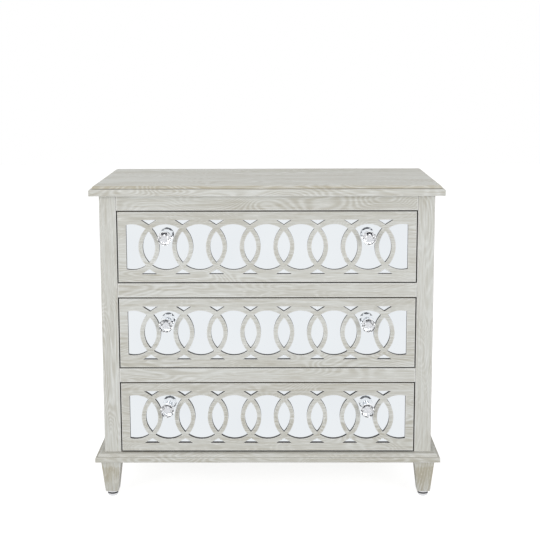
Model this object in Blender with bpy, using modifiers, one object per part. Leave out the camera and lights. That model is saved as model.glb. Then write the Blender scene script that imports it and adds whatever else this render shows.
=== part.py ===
"""Chest of three drawers in limed oak, with interlaced ring fretwork over mirrored fronts.

Units are metres and +Z is up. The front faces -Y and the left side is at -X.
The origin is on the floor, under the middle of the whole chest with its knobs.
"""

import math

import bmesh
import bpy
from mathutils import Matrix, Vector

# Gap that touching pieces keep between their faces.
FIT = 0.0003

# Top board and base board. Both overhang the posts at the front and sides and are flush at the back.
BOARD_WIDTH = 0.900
BOARD_DEPTH = 0.450
BOARD_OVERHANG = 0.023
TOP_THICKNESS = 0.026
BASE_THICKNESS = 0.022

# Moulded edge of both boards: a flat face with a rounded shoulder, a ledge and quirk, then a quarter round.
EDGE_ARRIS = 0.001
EDGE_SHOULDER = 0.0035
EDGE_SHOULDER_STEPS = 3
EDGE_LEDGE = 0.0075
EDGE_QUIRK = 0.0015
EDGE_ROUND_RUN = 0.0065
EDGE_ROUND_RISE = 0.0075
EDGE_ROUND_STEPS = 6

# Feet, tapered on all four sides, and the domed glides nailed under them.
FOOT_HEIGHT = 0.0865
FOOT_TOP_SIDE = 0.053
FOOT_BOTTOM_SIDE = 0.034
FOOT_ARRIS = 0.0015
SPIGOT_RADIUS = 0.010
SPIGOT_LENGTH = 0.012
SPIGOT_ROOT = 0.020
GLIDE_HEIGHT = 0.015
GLIDE_RADIUS = 0.015
GLIDE_RIM = 0.0025
GLIDE_FLAT_RADIUS = 0.010
GLIDE_PIN_RADIUS = 0.002
GLIDE_PIN_LENGTH = 0.015
GLIDE_DOME_STEPS = 4

# Case frame: four posts, one top rail and the divider rails between the drawers.
DRAWER_NAMES = ("lower", "middle", "upper")
OPENING_HEIGHT = 0.188
POST_SIDE = 0.043
POST_ARRIS = 0.001
DIVIDER_HEIGHT = 0.037
TOP_RAIL_HEIGHT = 0.039
RAIL_DEPTH = 0.022
RAIL_ARRIS = 0.001
TENON_LENGTH = 0.015
TENON_THICKNESS = 0.010
TENON_SHOULDER = 0.005

# Panels of the case.
SIDE_PANEL_THICKNESS = 0.012
SIDE_PANEL_RECESS = 0.006
SIDE_PANEL_HOUSING = 0.008
BACK_PANEL_THICKNESS = 0.008
BACK_PANEL_REBATE = 0.010

# Runners, fixed to the inner faces of the posts under the drawer sides.
RUNNER_WIDTH = 0.022
RUNNER_HEIGHT = 0.024
RUNNER_END_GAP = 0.0005

# Drawer box.
DRAWER_GAP = 0.003
DRAWER_REAR_CLEARANCE = 0.0184
DRAWER_FRONT_THICKNESS = 0.020
DRAWER_SIDE_THICKNESS = 0.015
DRAWER_SIDE_HEIGHT = 0.162
DRAWER_SIDE_RAISE = 0.007
DRAWER_BOTTOM_THICKNESS = 0.006
DRAWER_BOTTOM_RAISE = 0.011
BOTTOM_GROOVE_DEPTH = 0.005
DRAWER_BACK_THICKNESS = 0.014
DRAWER_BACK_INSET = 0.014
BACK_HOUSING_DEPTH = 0.005
TAIL_COUNT = 3
TAIL_ROOT = 0.032
TAIL_LAP = 0.012
TAIL_SLOPE = math.radians(8.0)

# Mirror, laid in a pocket of the drawer front behind the fret.
MIRROR_THICKNESS = 0.004
POCKET_INSET_X = 0.014
POCKET_INSET_Z = 0.010
POCKET_SIDE_PLAY = 0.0005

# Fret: rings of equal pitch between the rails of one flat panel.
FRET_THICKNESS = 0.006
FRET_RAIL = 0.0211
FRET_STILE = 0.0214
RING_BAND = 0.0109
RING_PITCH_RATIO = 1.22
END_OPENING = 0.0148
TRIANGLE_HALF_WIDTH = 0.0197
TRIANGLE_WEB = 0.0022
ARC_STEP = math.radians(10.0)

# Knobs: a cut crystal on a chromed stem, whose stud and nut hold the mirror and the drawer front.
KNOB_RAISE = 0.027
CRYSTAL_RADIUS = 0.018
CRYSTAL_DEPTH = 0.022
CRYSTAL_FACETS = 12
# Each ring of corners: share of the radius, share of the depth from the front, turn in half facets.
CRYSTAL_CUT = (
    (0.60, 0.00, 0),
    (0.86, 0.17, 1),
    (1.00, 0.42, 0),
    (1.00, 0.50, 1),
    (0.74, 0.78, 0),
    (0.46, 1.00, 1),
)
FERRULE_RADIUS = 0.0085
FERRULE_THICKNESS = 0.003
NECK_RADIUS = 0.004
NECK_LENGTH = 0.020
FLANGE_RADIUS = 0.009
FLANGE_THICKNESS = 0.0025
STUD_RADIUS = 0.002
STUD_TAIL = 0.001
NUT_RADIUS = 0.0045
NUT_THICKNESS = 0.003
STUD_HOLE_PLAY = 0.0005

# Steps round turned pieces and holes.
GLIDE_SIDES = 16
STEM_SIDES = 12
HOLE_SIDES = 12
SPIGOT_SIDES = 16

# Cutters reach past the face they open by this much.
OVERRUN = 0.003

# Corners nearer than this are one corner, and turned faces at a flatter angle are shaded smooth.
WELD = 0.00001
SHARP_ANGLE = math.radians(35.0)

# Places that follow from the sizes above.
CASE_DEPTH = BOARD_DEPTH - BOARD_OVERHANG
CASE_HALF = BOARD_WIDTH / 2 - BOARD_OVERHANG
INNER_HALF = CASE_HALF - POST_SIDE
FACE_TO_MIRROR = FRET_THICKNESS + FIT
KNOB_STACK = FIT + FLANGE_THICKNESS + NECK_LENGTH + FERRULE_THICKNESS + FIT + CRYSTAL_DEPTH
KNOB_REACH = KNOB_STACK - FACE_TO_MIRROR
FRONT_REACH = max(KNOB_REACH, BOARD_OVERHANG)
CASE_FRONT = (FRONT_REACH - CASE_DEPTH) / 2
CASE_BACK = CASE_FRONT + CASE_DEPTH

BASE_BOTTOM = GLIDE_HEIGHT + FOOT_HEIGHT + 2 * FIT
BASE_TOP = BASE_BOTTOM + BASE_THICKNESS
STOREY = OPENING_HEIGHT + DIVIDER_HEIGHT
OPENING_TOP = BASE_TOP + len(DRAWER_NAMES) * STOREY - DIVIDER_HEIGHT
TOP_BOTTOM = OPENING_TOP + TOP_RAIL_HEIGHT

DRAWER_HALF = INNER_HALF - DRAWER_GAP
FRONT_HALF_HEIGHT = OPENING_HEIGHT / 2 - DRAWER_GAP
BOX_INNER_HALF = DRAWER_HALF - DRAWER_SIDE_THICKNESS
FRONT_BOARD_FACE = CASE_FRONT + FACE_TO_MIRROR
FRONT_BOARD_BACK = FRONT_BOARD_FACE + DRAWER_FRONT_THICKNESS
SHOULDER = FRONT_BOARD_BACK + FIT
BOX_REAR = CASE_BACK - BACK_PANEL_THICKNESS - DRAWER_REAR_CLEARANCE

RING_OUTER = FRONT_HALF_HEIGHT - FRET_RAIL
RING_INNER = RING_OUTER - RING_BAND
RING_SPAN = DRAWER_HALF - FRET_STILE - END_OPENING
RINGS_EACH_SIDE = max(2, round(RING_SPAN / (RING_PITCH_RATIO * RING_OUTER)))
RING_PITCH = RING_SPAN / RINGS_EACH_SIDE
KNOB_X = (RINGS_EACH_SIDE - 1) * RING_PITCH

# Finishes: colour, roughness, metallic value and transmission.
FINISHES = {
    "limed_oak": ((0.565, 0.552, 0.488), 0.55, 0.0, 0.0),
    "plain_maple": ((0.640, 0.545, 0.400), 0.60, 0.0, 0.0),
    "silvered_glass": ((0.860, 0.900, 0.930), 0.03, 1.0, 0.0),
    "crystal": ((0.970, 0.980, 1.000), 0.02, 0.0, 1.0),
    "chrome": ((0.700, 0.705, 0.720), 0.12, 1.0, 0.0),
}

LEFT_AND_RIGHT = (("left", -1), ("right", 1))
FACING_FRONT = (math.pi / 2, 0.0, 0.0)
FACING_RIGHT = (math.pi / 2, 0.0, math.pi / 2)

for item in list(bpy.data.objects):
    bpy.data.objects.remove(item, do_unlink=True)


def scene_collection(name):
    """The collection of this name, linked under the scene."""
    group = bpy.data.collections.get(name) or bpy.data.collections.new(name)
    if name not in bpy.context.scene.collection.children:
        bpy.context.scene.collection.children.link(group)
    return group


PARTS = scene_collection("chest_of_drawers")
CUTTERS = scene_collection("chest_of_drawers_cutters")


def hub(name, location=(0.0, 0.0, 0.0), parent=None):
    """An empty that carries the pieces of one body."""
    empty = bpy.data.objects.new(name, None)
    PARTS.objects.link(empty)
    empty.empty_display_size = 0.05
    empty.location = location
    empty.parent = parent
    return empty


def from_bmesh(name, shape, group):
    """An object that holds the bmesh, which is freed."""
    mesh = bpy.data.meshes.new(name)
    shape.to_mesh(mesh)
    shape.free()
    piece = bpy.data.objects.new(name, mesh)
    group.objects.link(piece)
    return piece


def baked_copy(piece):
    """The evaluated mesh of a piece, with its loose caps and seams welded."""
    bpy.context.view_layer.update()
    seen = piece.evaluated_get(bpy.context.evaluated_depsgraph_get())
    mesh = bpy.data.meshes.new_from_object(seen)
    shape = bmesh.new()
    shape.from_mesh(mesh)
    bmesh.ops.remove_doubles(shape, verts=shape.verts, dist=WELD)
    bmesh.ops.recalc_face_normals(shape, faces=shape.faces)
    shape.to_mesh(mesh)
    shape.free()
    return mesh


def block(name, low, high, group=PARTS):
    """A rectangular block between two corners, with its origin in its middle."""
    shape = bmesh.new()
    bmesh.ops.create_cube(shape, size=1.0)
    bmesh.ops.scale(shape, vec=Vector(high) - Vector(low), verts=shape.verts)
    piece = from_bmesh(name, shape, group)
    piece.location = (Vector(low) + Vector(high)) / 2
    return piece


def rod(name, radius, length, location, sides, rotation=(0.0, 0.0, 0.0), group=CUTTERS):
    """A plain cylinder, along Z before it is turned."""
    shape = bmesh.new()
    bmesh.ops.create_cone(
        shape, cap_ends=True, segments=sides, radius1=radius, radius2=radius, depth=length
    )
    piece = from_bmesh(name, shape, group)
    piece.location = location
    piece.rotation_euler = rotation
    return piece


def flat_solid(name, loops, thickness, location, rotation, group=PARTS):
    """Closed outlines drawn in a plane, the first one outside and the others as holes, made a slab."""
    curve = bpy.data.curves.new(name, "CURVE")
    curve.dimensions = "2D"
    curve.fill_mode = "BOTH"
    curve.extrude = thickness / 2
    for loop in loops:
        spline = curve.splines.new("POLY")
        spline.points.add(len(loop) - 1)
        for point, (across, up) in zip(spline.points, loop):
            point.co = (across, up, 0.0, 1.0)
        spline.use_cyclic_u = True
    drawn = bpy.data.objects.new(name + "_outline", curve)
    group.objects.link(drawn)
    piece = bpy.data.objects.new(name, baked_copy(drawn))
    group.objects.link(piece)
    bpy.data.objects.remove(drawn, do_unlink=True)
    piece.location = location
    piece.rotation_euler = rotation
    return piece


def turned(name, profile, sides, location, rotation=(0.0, 0.0, 0.0)):
    """A turned piece from a profile of (radius, height) that runs from its top down its outer side."""
    shape = bmesh.new()
    corners = [shape.verts.new((radius, 0.0, height)) for radius, height in profile]
    for upper, lower in zip(corners, corners[1:]):
        shape.edges.new((upper, lower))
    piece = from_bmesh(name, shape, PARTS)
    screw = piece.modifiers.new("turning", "SCREW")
    screw.axis = "Z"
    screw.steps = sides
    screw.render_steps = sides
    screw.use_merge_vertices = True
    screw.merge_threshold = WELD
    piece.data = baked_copy(piece)
    piece.modifiers.clear()
    piece.data.shade_smooth()
    piece.data.set_sharp_from_angle(angle=SHARP_ANGLE)
    piece.location = location
    piece.rotation_euler = rotation
    return piece


def soften(piece, width, along):
    """Take the arris off the edges that run along one axis."""
    weights = piece.data.attributes.new("bevel_weight_edge", "FLOAT", "EDGE")
    for edge in piece.data.edges:
        start, end = (piece.data.vertices[index].co for index in edge.vertices)
        run = end - start
        weights.data[edge.index].value = 1.0 if abs(run[along]) > 0.9 * run.length else 0.0
    bevel = piece.modifiers.new("arris", "BEVEL")
    bevel.width = width
    bevel.segments = 1
    bevel.limit_method = "WEIGHT"


def combine(piece, other, operation, body):
    """Join another solid to a piece or cut it away. The other solid moves with the same body."""
    other.hide_render = True
    other.display_type = "WIRE"
    carry(other, body)
    change = piece.modifiers.new(other.name, "BOOLEAN")
    change.operation = operation
    change.solver = "EXACT"
    change.object = other


def carry(piece, body):
    """Parent a piece to the empty of its body, keeping its place."""
    piece.parent = body
    piece.location = Vector(piece.location) - Vector(body.location)


def finish(piece, look, body):
    """Give a finished piece its own material and hang it on its body."""
    colour, roughness, metallic, transmission = FINISHES[look]
    material = bpy.data.materials.new(piece.name + "_" + look)
    material.use_nodes = True
    shader = material.node_tree.nodes["Principled BSDF"]
    shader.inputs["Base Color"].default_value = (*colour, 1.0)
    shader.inputs["Roughness"].default_value = roughness
    shader.inputs["Metallic"].default_value = metallic
    shader.inputs["Transmission Weight"].default_value = transmission
    piece.data.materials.clear()
    piece.data.materials.append(material)
    carry(piece, body)


# Boards of the case.

def edge_levels(thickness):
    """The moulded edge from the bottom up, as (inset, height) pairs."""
    face = thickness - EDGE_ROUND_RISE - EDGE_QUIRK
    levels = [
        (EDGE_ARRIS, 0.0),
        (0.0, EDGE_ARRIS),
        (0.0, face - EDGE_SHOULDER),
    ]
    for step in range(1, EDGE_SHOULDER_STEPS + 1):
        turn = math.pi / 2 * step / EDGE_SHOULDER_STEPS
        inset = EDGE_SHOULDER * (1 - math.cos(turn))
        levels.append((inset, face - EDGE_SHOULDER * (1 - math.sin(turn))))
    levels.append((EDGE_LEDGE, face))
    levels.append((EDGE_LEDGE, face + EDGE_QUIRK))
    for step in range(1, EDGE_ROUND_STEPS + 1):
        turn = math.pi / 2 * step / EDGE_ROUND_STEPS
        inset = EDGE_LEDGE + EDGE_ROUND_RUN * (1 - math.cos(turn))
        levels.append((inset, face + EDGE_QUIRK + EDGE_ROUND_RISE * math.sin(turn)))
    return levels


def moulded_board(name, bottom, thickness):
    """A board raised level by level, moulded all round, then sawn off square at the back."""
    waste = EDGE_LEDGE + EDGE_ROUND_RUN + OVERRUN
    front = CASE_FRONT - BOARD_OVERHANG
    half_depth = (CASE_BACK + waste - front) / 2
    shape = bmesh.new()
    bmesh.ops.create_grid(shape, x_segments=1, y_segments=1, size=0.5)
    lid = next(iter(shape.faces))
    for number, (inset, height) in enumerate(edge_levels(thickness)):
        if number:
            grown = bmesh.ops.extrude_face_region(shape, geom=[lid])["geom"]
            if number > 1:
                bmesh.ops.delete(shape, geom=[lid], context="FACES_ONLY")
            lid = next(item for item in grown if isinstance(item, bmesh.types.BMFace))
        for vert in lid.verts:
            vert.co.x = math.copysign(BOARD_WIDTH / 2 - inset, vert.co.x)
            vert.co.y = math.copysign(half_depth - inset, vert.co.y)
            vert.co.z = height
    bmesh.ops.recalc_face_normals(shape, faces=shape.faces)
    board = from_bmesh(name, shape, PARTS)
    board.location = (0.0, front + half_depth, bottom)
    saw = block(
        name + "_back_saw",
        (-BOARD_WIDTH, CASE_BACK, bottom - OVERRUN),
        (BOARD_WIDTH, CASE_BACK + 2 * waste, bottom + thickness + OVERRUN),
        CUTTERS,
    )
    combine(board, saw, "DIFFERENCE", CHEST)
    return board


def foot_places():
    """Name and centre of each foot, in line with the post's inner side and flush at the back."""
    front_centre = CASE_FRONT + POST_SIDE - FOOT_TOP_SIDE / 2
    back_centre = CASE_BACK - FOOT_TOP_SIDE / 2
    across = INNER_HALF + FOOT_TOP_SIDE / 2
    for end, centre in (("front", front_centre), ("back", back_centre)):
        for side, sign in LEFT_AND_RIGHT:
            yield f"{end}_{side}", sign * across, centre


def make_boards():
    """Top board, and base board with a blind hole over each foot."""
    finish(moulded_board("top_board", TOP_BOTTOM + FIT, TOP_THICKNESS), "limed_oak", CHEST)
    base = moulded_board("base_board", BASE_BOTTOM, BASE_THICKNESS)
    for corner, across, along in foot_places():
        hole = rod(
            "base_hole_" + corner,
            SPIGOT_RADIUS + FIT,
            2 * (SPIGOT_LENGTH + FIT),
            (across, along, BASE_BOTTOM),
            SPIGOT_SIDES,
        )
        combine(base, hole, "DIFFERENCE", CHEST)
    finish(base, "limed_oak", CHEST)


# Feet and glides.

def make_foot(corner, across, along):
    """A foot tapered on four sides, with a turned spigot on top and a pin hole below."""
    shape = bmesh.new()
    corner_reach = math.sqrt(0.5)
    bmesh.ops.create_cone(
        shape,
        cap_ends=True,
        segments=4,
        radius1=FOOT_BOTTOM_SIDE * corner_reach,
        radius2=FOOT_TOP_SIDE * corner_reach,
        depth=FOOT_HEIGHT,
    )
    bmesh.ops.rotate(shape, verts=shape.verts, matrix=Matrix.Rotation(math.pi / 4, 3, "Z"))
    foot = from_bmesh("foot_" + corner, shape, PARTS)
    top = BASE_BOTTOM - FIT
    foot.location = (across, along, top - FOOT_HEIGHT / 2)
    soften(foot, FOOT_ARRIS, 2)
    spigot = rod(
        "spigot_" + corner,
        SPIGOT_RADIUS,
        SPIGOT_ROOT + SPIGOT_LENGTH,
        (across, along, top + (SPIGOT_LENGTH - SPIGOT_ROOT) / 2),
        SPIGOT_SIDES,
    )
    combine(foot, spigot, "UNION", CHEST)
    pin_hole = rod(
        "pin_hole_" + corner,
        GLIDE_PIN_RADIUS + FIT,
        2 * (GLIDE_PIN_LENGTH + FIT),
        (across, along, top - FOOT_HEIGHT),
        HOLE_SIDES,
    )
    combine(foot, pin_hole, "DIFFERENCE", CHEST)
    finish(foot, "limed_oak", CHEST)


def make_glide(corner, across, along):
    """A domed metal glide with its pin driven into the foot."""
    profile = [
        (0.0, GLIDE_HEIGHT + GLIDE_PIN_LENGTH),
        (GLIDE_PIN_RADIUS, GLIDE_HEIGHT + GLIDE_PIN_LENGTH),
        (GLIDE_PIN_RADIUS, GLIDE_HEIGHT),
        (GLIDE_RADIUS, GLIDE_HEIGHT),
    ]
    for step in range(GLIDE_DOME_STEPS + 1):
        turn = math.pi / 2 * step / GLIDE_DOME_STEPS
        radius = GLIDE_FLAT_RADIUS + (GLIDE_RADIUS - GLIDE_FLAT_RADIUS) * math.cos(turn)
        profile.append((radius, (GLIDE_HEIGHT - GLIDE_RIM) * (1 - math.sin(turn))))
    profile.append((0.0, 0.0))
    glide = turned("glide_" + corner, profile, GLIDE_SIDES, (across, along, 0.0))
    finish(glide, "chrome", CHEST)


# Posts, rails and panels.

def rail_spans():
    """Name, bottom and top of each rail between the posts."""
    divider_names = ("lower", "upper")
    for number, name in enumerate(divider_names):
        bottom = BASE_TOP + (number + 1) * STOREY - DIVIDER_HEIGHT
        yield "divider_rail_" + name, bottom, bottom + DIVIDER_HEIGHT
    yield "top_rail", OPENING_TOP, TOP_BOTTOM


def tenon_box(bottom, top, reach, play):
    """Corners of a rail's tenons, which run through the middle of its section."""
    middle = CASE_FRONT + RAIL_DEPTH / 2
    low = (-reach, middle - TENON_THICKNESS / 2 - play, bottom + TENON_SHOULDER - play)
    high = (reach, middle + TENON_THICKNESS / 2 + play, top - TENON_SHOULDER + play)
    return low, high


def make_rail(name, bottom, top):
    """A rail flush with the posts, with a tenon at each end."""
    half = INNER_HALF - FIT
    rail = block(name, (-half, CASE_FRONT, bottom), (half, CASE_FRONT + RAIL_DEPTH, top))
    soften(rail, RAIL_ARRIS, 0)
    low, high = tenon_box(bottom, top, INNER_HALF + TENON_LENGTH, 0.0)
    combine(rail, block(name + "_tenons", low, high, CUTTERS), "UNION", CHEST)
    finish(rail, "limed_oak", CHEST)


def side_panel_span():
    """Distance of the side panels' two faces from the middle of the chest."""
    outer = CASE_HALF - SIDE_PANEL_RECESS
    return outer - SIDE_PANEL_THICKNESS, outer


def back_panel_half():
    """Half of the back panel's width."""
    return INNER_HALF + BACK_PANEL_REBATE - FIT


def mirrored(low, high, sign):
    """The same box on the right (1) or on the left (-1)."""
    ends = sorted((sign * low[0], sign * high[0]))
    return (ends[0], *low[1:]), (ends[1], *high[1:])


def make_post(end, side, sign):
    """A square post, housed for the side panel and mortised or rebated."""
    name = f"post_{end}_{side}"
    near = CASE_FRONT if end == "front" else CASE_BACK - POST_SIDE
    bottom = BASE_TOP + FIT
    top = TOP_BOTTOM
    post = block(name, *mirrored((INNER_HALF, near, bottom), (CASE_HALF, near + POST_SIDE, top), sign))
    soften(post, POST_ARRIS, 2)

    panel_inner, panel_outer = side_panel_span()
    housing = SIDE_PANEL_HOUSING + FIT
    inner_edge = near + POST_SIDE if end == "front" else near
    into_post = inner_edge - housing if end == "front" else inner_edge + housing
    out_of_post = inner_edge + OVERRUN if end == "front" else inner_edge - OVERRUN
    low = (panel_inner - FIT, min(into_post, out_of_post), bottom - OVERRUN)
    high = (panel_outer + FIT, max(into_post, out_of_post), top + OVERRUN)
    combine(post, block(name + "_housing", *mirrored(low, high, sign), CUTTERS), "DIFFERENCE", CHEST)

    if end == "front":
        for rail_name, rail_bottom, rail_top in rail_spans():
            low, high = tenon_box(rail_bottom, rail_top, INNER_HALF + TENON_LENGTH + FIT, FIT)
            low = (INNER_HALF - OVERRUN, *low[1:])
            mortise = block(f"{name}_mortise_{rail_name}", *mirrored(low, high, sign), CUTTERS)
            combine(post, mortise, "DIFFERENCE", CHEST)
    else:
        low = (INNER_HALF - OVERRUN, CASE_BACK - BACK_PANEL_THICKNESS - FIT, bottom - OVERRUN)
        high = (INNER_HALF + BACK_PANEL_REBATE, CASE_BACK + OVERRUN, top + OVERRUN)
        combine(post, block(name + "_rebate", *mirrored(low, high, sign), CUTTERS), "DIFFERENCE", CHEST)
    finish(post, "limed_oak", CHEST)


def make_panels():
    """Side panels housed in the posts, and the back panel in its rebates."""
    bottom = BASE_TOP + FIT
    inner, outer = side_panel_span()
    front = CASE_FRONT + POST_SIDE - SIDE_PANEL_HOUSING
    back = CASE_BACK - POST_SIDE + SIDE_PANEL_HOUSING
    for side, sign in LEFT_AND_RIGHT:
        panel = block(
            "side_panel_" + side,
            *mirrored((inner, front, bottom), (outer, back, TOP_BOTTOM), sign),
        )
        finish(panel, "limed_oak", CHEST)
    half = back_panel_half()
    back_panel = block(
        "back_panel",
        (-half, CASE_BACK - BACK_PANEL_THICKNESS, bottom),
        (half, CASE_BACK, TOP_BOTTOM),
    )
    finish(back_panel, "plain_maple", CHEST)


def make_runners(level, opening_bottom):
    """A pair of runners under the sides of one drawer."""
    top = opening_bottom + DRAWER_GAP + DRAWER_SIDE_RAISE - FIT
    bottom = max(top - RUNNER_HEIGHT, BASE_TOP + FIT)
    front = FRONT_BOARD_BACK + RUNNER_END_GAP
    back = CASE_BACK - BACK_PANEL_THICKNESS - FIT
    for side, sign in LEFT_AND_RIGHT:
        low = (INNER_HALF - FIT - RUNNER_WIDTH, front, bottom)
        high = (INNER_HALF - FIT, back, top)
        runner = block(f"runner_{level}_{side}", *mirrored(low, high, sign))
        finish(runner, "plain_maple", CHEST)


# Fretwork.

def arc(centre, radius, start, end):
    """Points round an arc in equal steps, without its last point."""
    steps = max(1, math.ceil(abs(end - start) / ARC_STEP))
    turns = (start + (end - start) * step / steps for step in range(steps))
    return [(centre + radius * math.cos(turn), radius * math.sin(turn)) for turn in turns]


def ring_crossing():
    """Where a ring's inner edge meets its neighbour's outer edge: both angles, at the upper right."""
    across = (RING_PITCH**2 + RING_INNER**2 - RING_OUTER**2) / (2 * RING_PITCH)
    up = math.sqrt(RING_INNER**2 - across**2)
    return math.atan2(up, across), math.atan2(up, RING_PITCH - across)


def hourglass(centre):
    """The opening in the middle of a ring, waisted by both its neighbours."""
    own, neighbour = ring_crossing()
    return (
        arc(centre, RING_INNER, own, math.pi - own)
        + arc(centre - RING_PITCH, RING_OUTER, neighbour, -neighbour)
        + arc(centre, RING_INNER, math.pi + own, 2 * math.pi - own)
        + arc(centre + RING_PITCH, RING_OUTER, math.pi + neighbour, math.pi - neighbour)
    )


def lens(middle):
    """The opening shared by two rings, midway between their centres."""
    half = RING_PITCH / 2
    tip = math.acos(half / RING_INNER)
    left_ring = arc(middle - half, RING_INNER, -tip, tip)
    right_ring = arc(middle + half, RING_INNER, math.pi - tip, math.pi + tip)
    return left_ring + right_ring


def end_opening(sign):
    """The opening at one end of the row, cut off by the stile."""
    own, neighbour = ring_crossing()
    edge = math.acos(END_OPENING / RING_INNER)
    points = (
        arc(RING_SPAN, RING_INNER, edge, math.pi - own)
        + arc(RING_SPAN - RING_PITCH, RING_OUTER, neighbour, -neighbour)
        + arc(RING_SPAN, RING_INNER, math.pi + own, 2 * math.pi - edge)
        + [(RING_SPAN + END_OPENING, -math.sqrt(RING_INNER**2 - END_OPENING**2))]
    )
    return [(sign * across, up) for across, up in points]


def triangle(middle, sign):
    """The small straight-sided opening over (1) or under (-1) the crossing of two rings."""
    crossing = math.sqrt(RING_OUTER**2 - (RING_PITCH / 2) ** 2)
    apex = crossing + TRIANGLE_WEB
    return [
        (middle - TRIANGLE_HALF_WIDTH, sign * RING_OUTER),
        (middle, sign * apex),
        (middle + TRIANGLE_HALF_WIDTH, sign * RING_OUTER),
    ]


def fret_loops():
    """Outline of the fret panel, then all its openings."""
    half, tall = DRAWER_HALF, FRONT_HALF_HEIGHT
    loops = [[(-half, -tall), (half, -tall), (half, tall), (-half, tall)]]
    loops += [end_opening(-1), end_opening(1)]
    for number in range(1 - RINGS_EACH_SIDE, RINGS_EACH_SIDE):
        loops.append(hourglass(number * RING_PITCH))
    for number in range(2 * RINGS_EACH_SIDE):
        middle = (number + 0.5 - RINGS_EACH_SIDE) * RING_PITCH
        loops += [lens(middle), triangle(middle, 1), triangle(middle, -1)]
    return loops


def make_fret(level, centre, body):
    """The fret panel over the mirror, flush with the posts."""
    place = (0.0, CASE_FRONT + FRET_THICKNESS / 2, centre)
    fret = flat_solid("fret_panel_" + level, fret_loops(), FRET_THICKNESS, place, FACING_FRONT)
    finish(fret, "limed_oak", body)


# Drawer box.

def tail_middles():
    """Heights of the tails' middles above the lower edge of a drawer side."""
    pitch = DRAWER_SIDE_HEIGHT / TAIL_COUNT
    return [(number + 0.5) * pitch for number in range(TAIL_COUNT)]


def tail_half(distance, play=0.0):
    """Half of a tail's height at a distance in front of the shoulder."""
    return TAIL_ROOT / 2 + distance * math.tan(TAIL_SLOPE) + play


def side_outline():
    """A drawer side seen from the right: its front edge carries the tails."""
    tip = SHOULDER - TAIL_LAP
    points = [(BOX_REAR, 0.0), (SHOULDER, 0.0)]
    for middle in tail_middles():
        points += [
            (SHOULDER, middle - tail_half(0.0)),
            (tip, middle - tail_half(TAIL_LAP)),
            (tip, middle + tail_half(TAIL_LAP)),
            (SHOULDER, middle + tail_half(0.0)),
        ]
    points += [(SHOULDER, DRAWER_SIDE_HEIGHT), (BOX_REAR, DRAWER_SIDE_HEIGHT)]
    return points


def socket_outline(middle):
    """The socket for one tail, run out past the back of the drawer front."""
    deep = TAIL_LAP + FIT
    out = -OVERRUN
    return [
        (SHOULDER - deep, middle - tail_half(deep, FIT)),
        (SHOULDER - deep, middle + tail_half(deep, FIT)),
        (SHOULDER - out, middle + tail_half(out, FIT)),
        (SHOULDER - out, middle - tail_half(out, FIT)),
    ]


def knob_places(centre):
    """Name, across and height of both knobs of a drawer."""
    for side, sign in LEFT_AND_RIGHT:
        yield side, sign * KNOB_X, centre + KNOB_RAISE


def stud_hole(name, across, height, front, back):
    """A cutter for a knob's stud, through a board between two depths."""
    return rod(
        name,
        STUD_RADIUS + STUD_HOLE_PLAY,
        back - front + 2 * OVERRUN,
        (across, (front + back) / 2, height),
        HOLE_SIDES,
        FACING_FRONT,
    )


def make_front(level, centre, side_bottom, body):
    """The board behind the fret: mirror pocket, dovetail sockets, bottom groove and knob holes."""
    name = "drawer_front_" + level
    front = block(
        name,
        (-DRAWER_HALF, FRONT_BOARD_FACE, centre - FRONT_HALF_HEIGHT),
        (DRAWER_HALF, FRONT_BOARD_BACK, centre + FRONT_HALF_HEIGHT),
    )
    half, tall = DRAWER_HALF - POCKET_INSET_X, FRONT_HALF_HEIGHT - POCKET_INSET_Z
    pocket = block(
        name + "_pocket",
        (-half, FRONT_BOARD_FACE - OVERRUN, centre - tall),
        (half, FRONT_BOARD_FACE + MIRROR_THICKNESS + FIT, centre + tall),
        CUTTERS,
    )
    combine(front, pocket, "DIFFERENCE", body)
    socket_width = DRAWER_SIDE_THICKNESS + FIT + OVERRUN
    for side, sign in LEFT_AND_RIGHT:
        across = sign * (BOX_INNER_HALF - FIT + socket_width / 2)
        for number, middle in enumerate(tail_middles()):
            socket = flat_solid(
                f"{name}_socket_{side}_{number}",
                [socket_outline(middle)],
                socket_width,
                (across, 0.0, side_bottom),
                FACING_RIGHT,
                CUTTERS,
            )
            combine(front, socket, "DIFFERENCE", body)
    groove_half = BOX_INNER_HALF + BOTTOM_GROOVE_DEPTH
    groove_bottom = side_bottom + DRAWER_BOTTOM_RAISE - FIT
    groove = block(
        name + "_groove",
        (-groove_half, FRONT_BOARD_BACK - BOTTOM_GROOVE_DEPTH, groove_bottom),
        (groove_half, FRONT_BOARD_BACK + OVERRUN, groove_bottom + DRAWER_BOTTOM_THICKNESS + 2 * FIT),
        CUTTERS,
    )
    combine(front, groove, "DIFFERENCE", body)
    for side, across, height in knob_places(centre):
        hole = stud_hole(f"{name}_hole_{side}", across, height, FRONT_BOARD_FACE, FRONT_BOARD_BACK)
        combine(front, hole, "DIFFERENCE", body)
    finish(front, "plain_maple", body)


def make_mirror(level, centre, body):
    """The mirror in the pocket, drilled for the knob studs."""
    name = "mirror_" + level
    half = DRAWER_HALF - POCKET_INSET_X - POCKET_SIDE_PLAY
    tall = FRONT_HALF_HEIGHT - POCKET_INSET_Z - POCKET_SIDE_PLAY
    face = FRONT_BOARD_FACE
    mirror = block(name, (-half, face, centre - tall), (half, face + MIRROR_THICKNESS, centre + tall))
    for side, across, height in knob_places(centre):
        hole = stud_hole(f"{name}_hole_{side}", across, height, face, face + MIRROR_THICKNESS)
        combine(mirror, hole, "DIFFERENCE", body)
    finish(mirror, "silvered_glass", body)


def back_board_span():
    """Front and back of a drawer's back board."""
    back = BOX_REAR - DRAWER_BACK_INSET
    return back - DRAWER_BACK_THICKNESS, back


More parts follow.
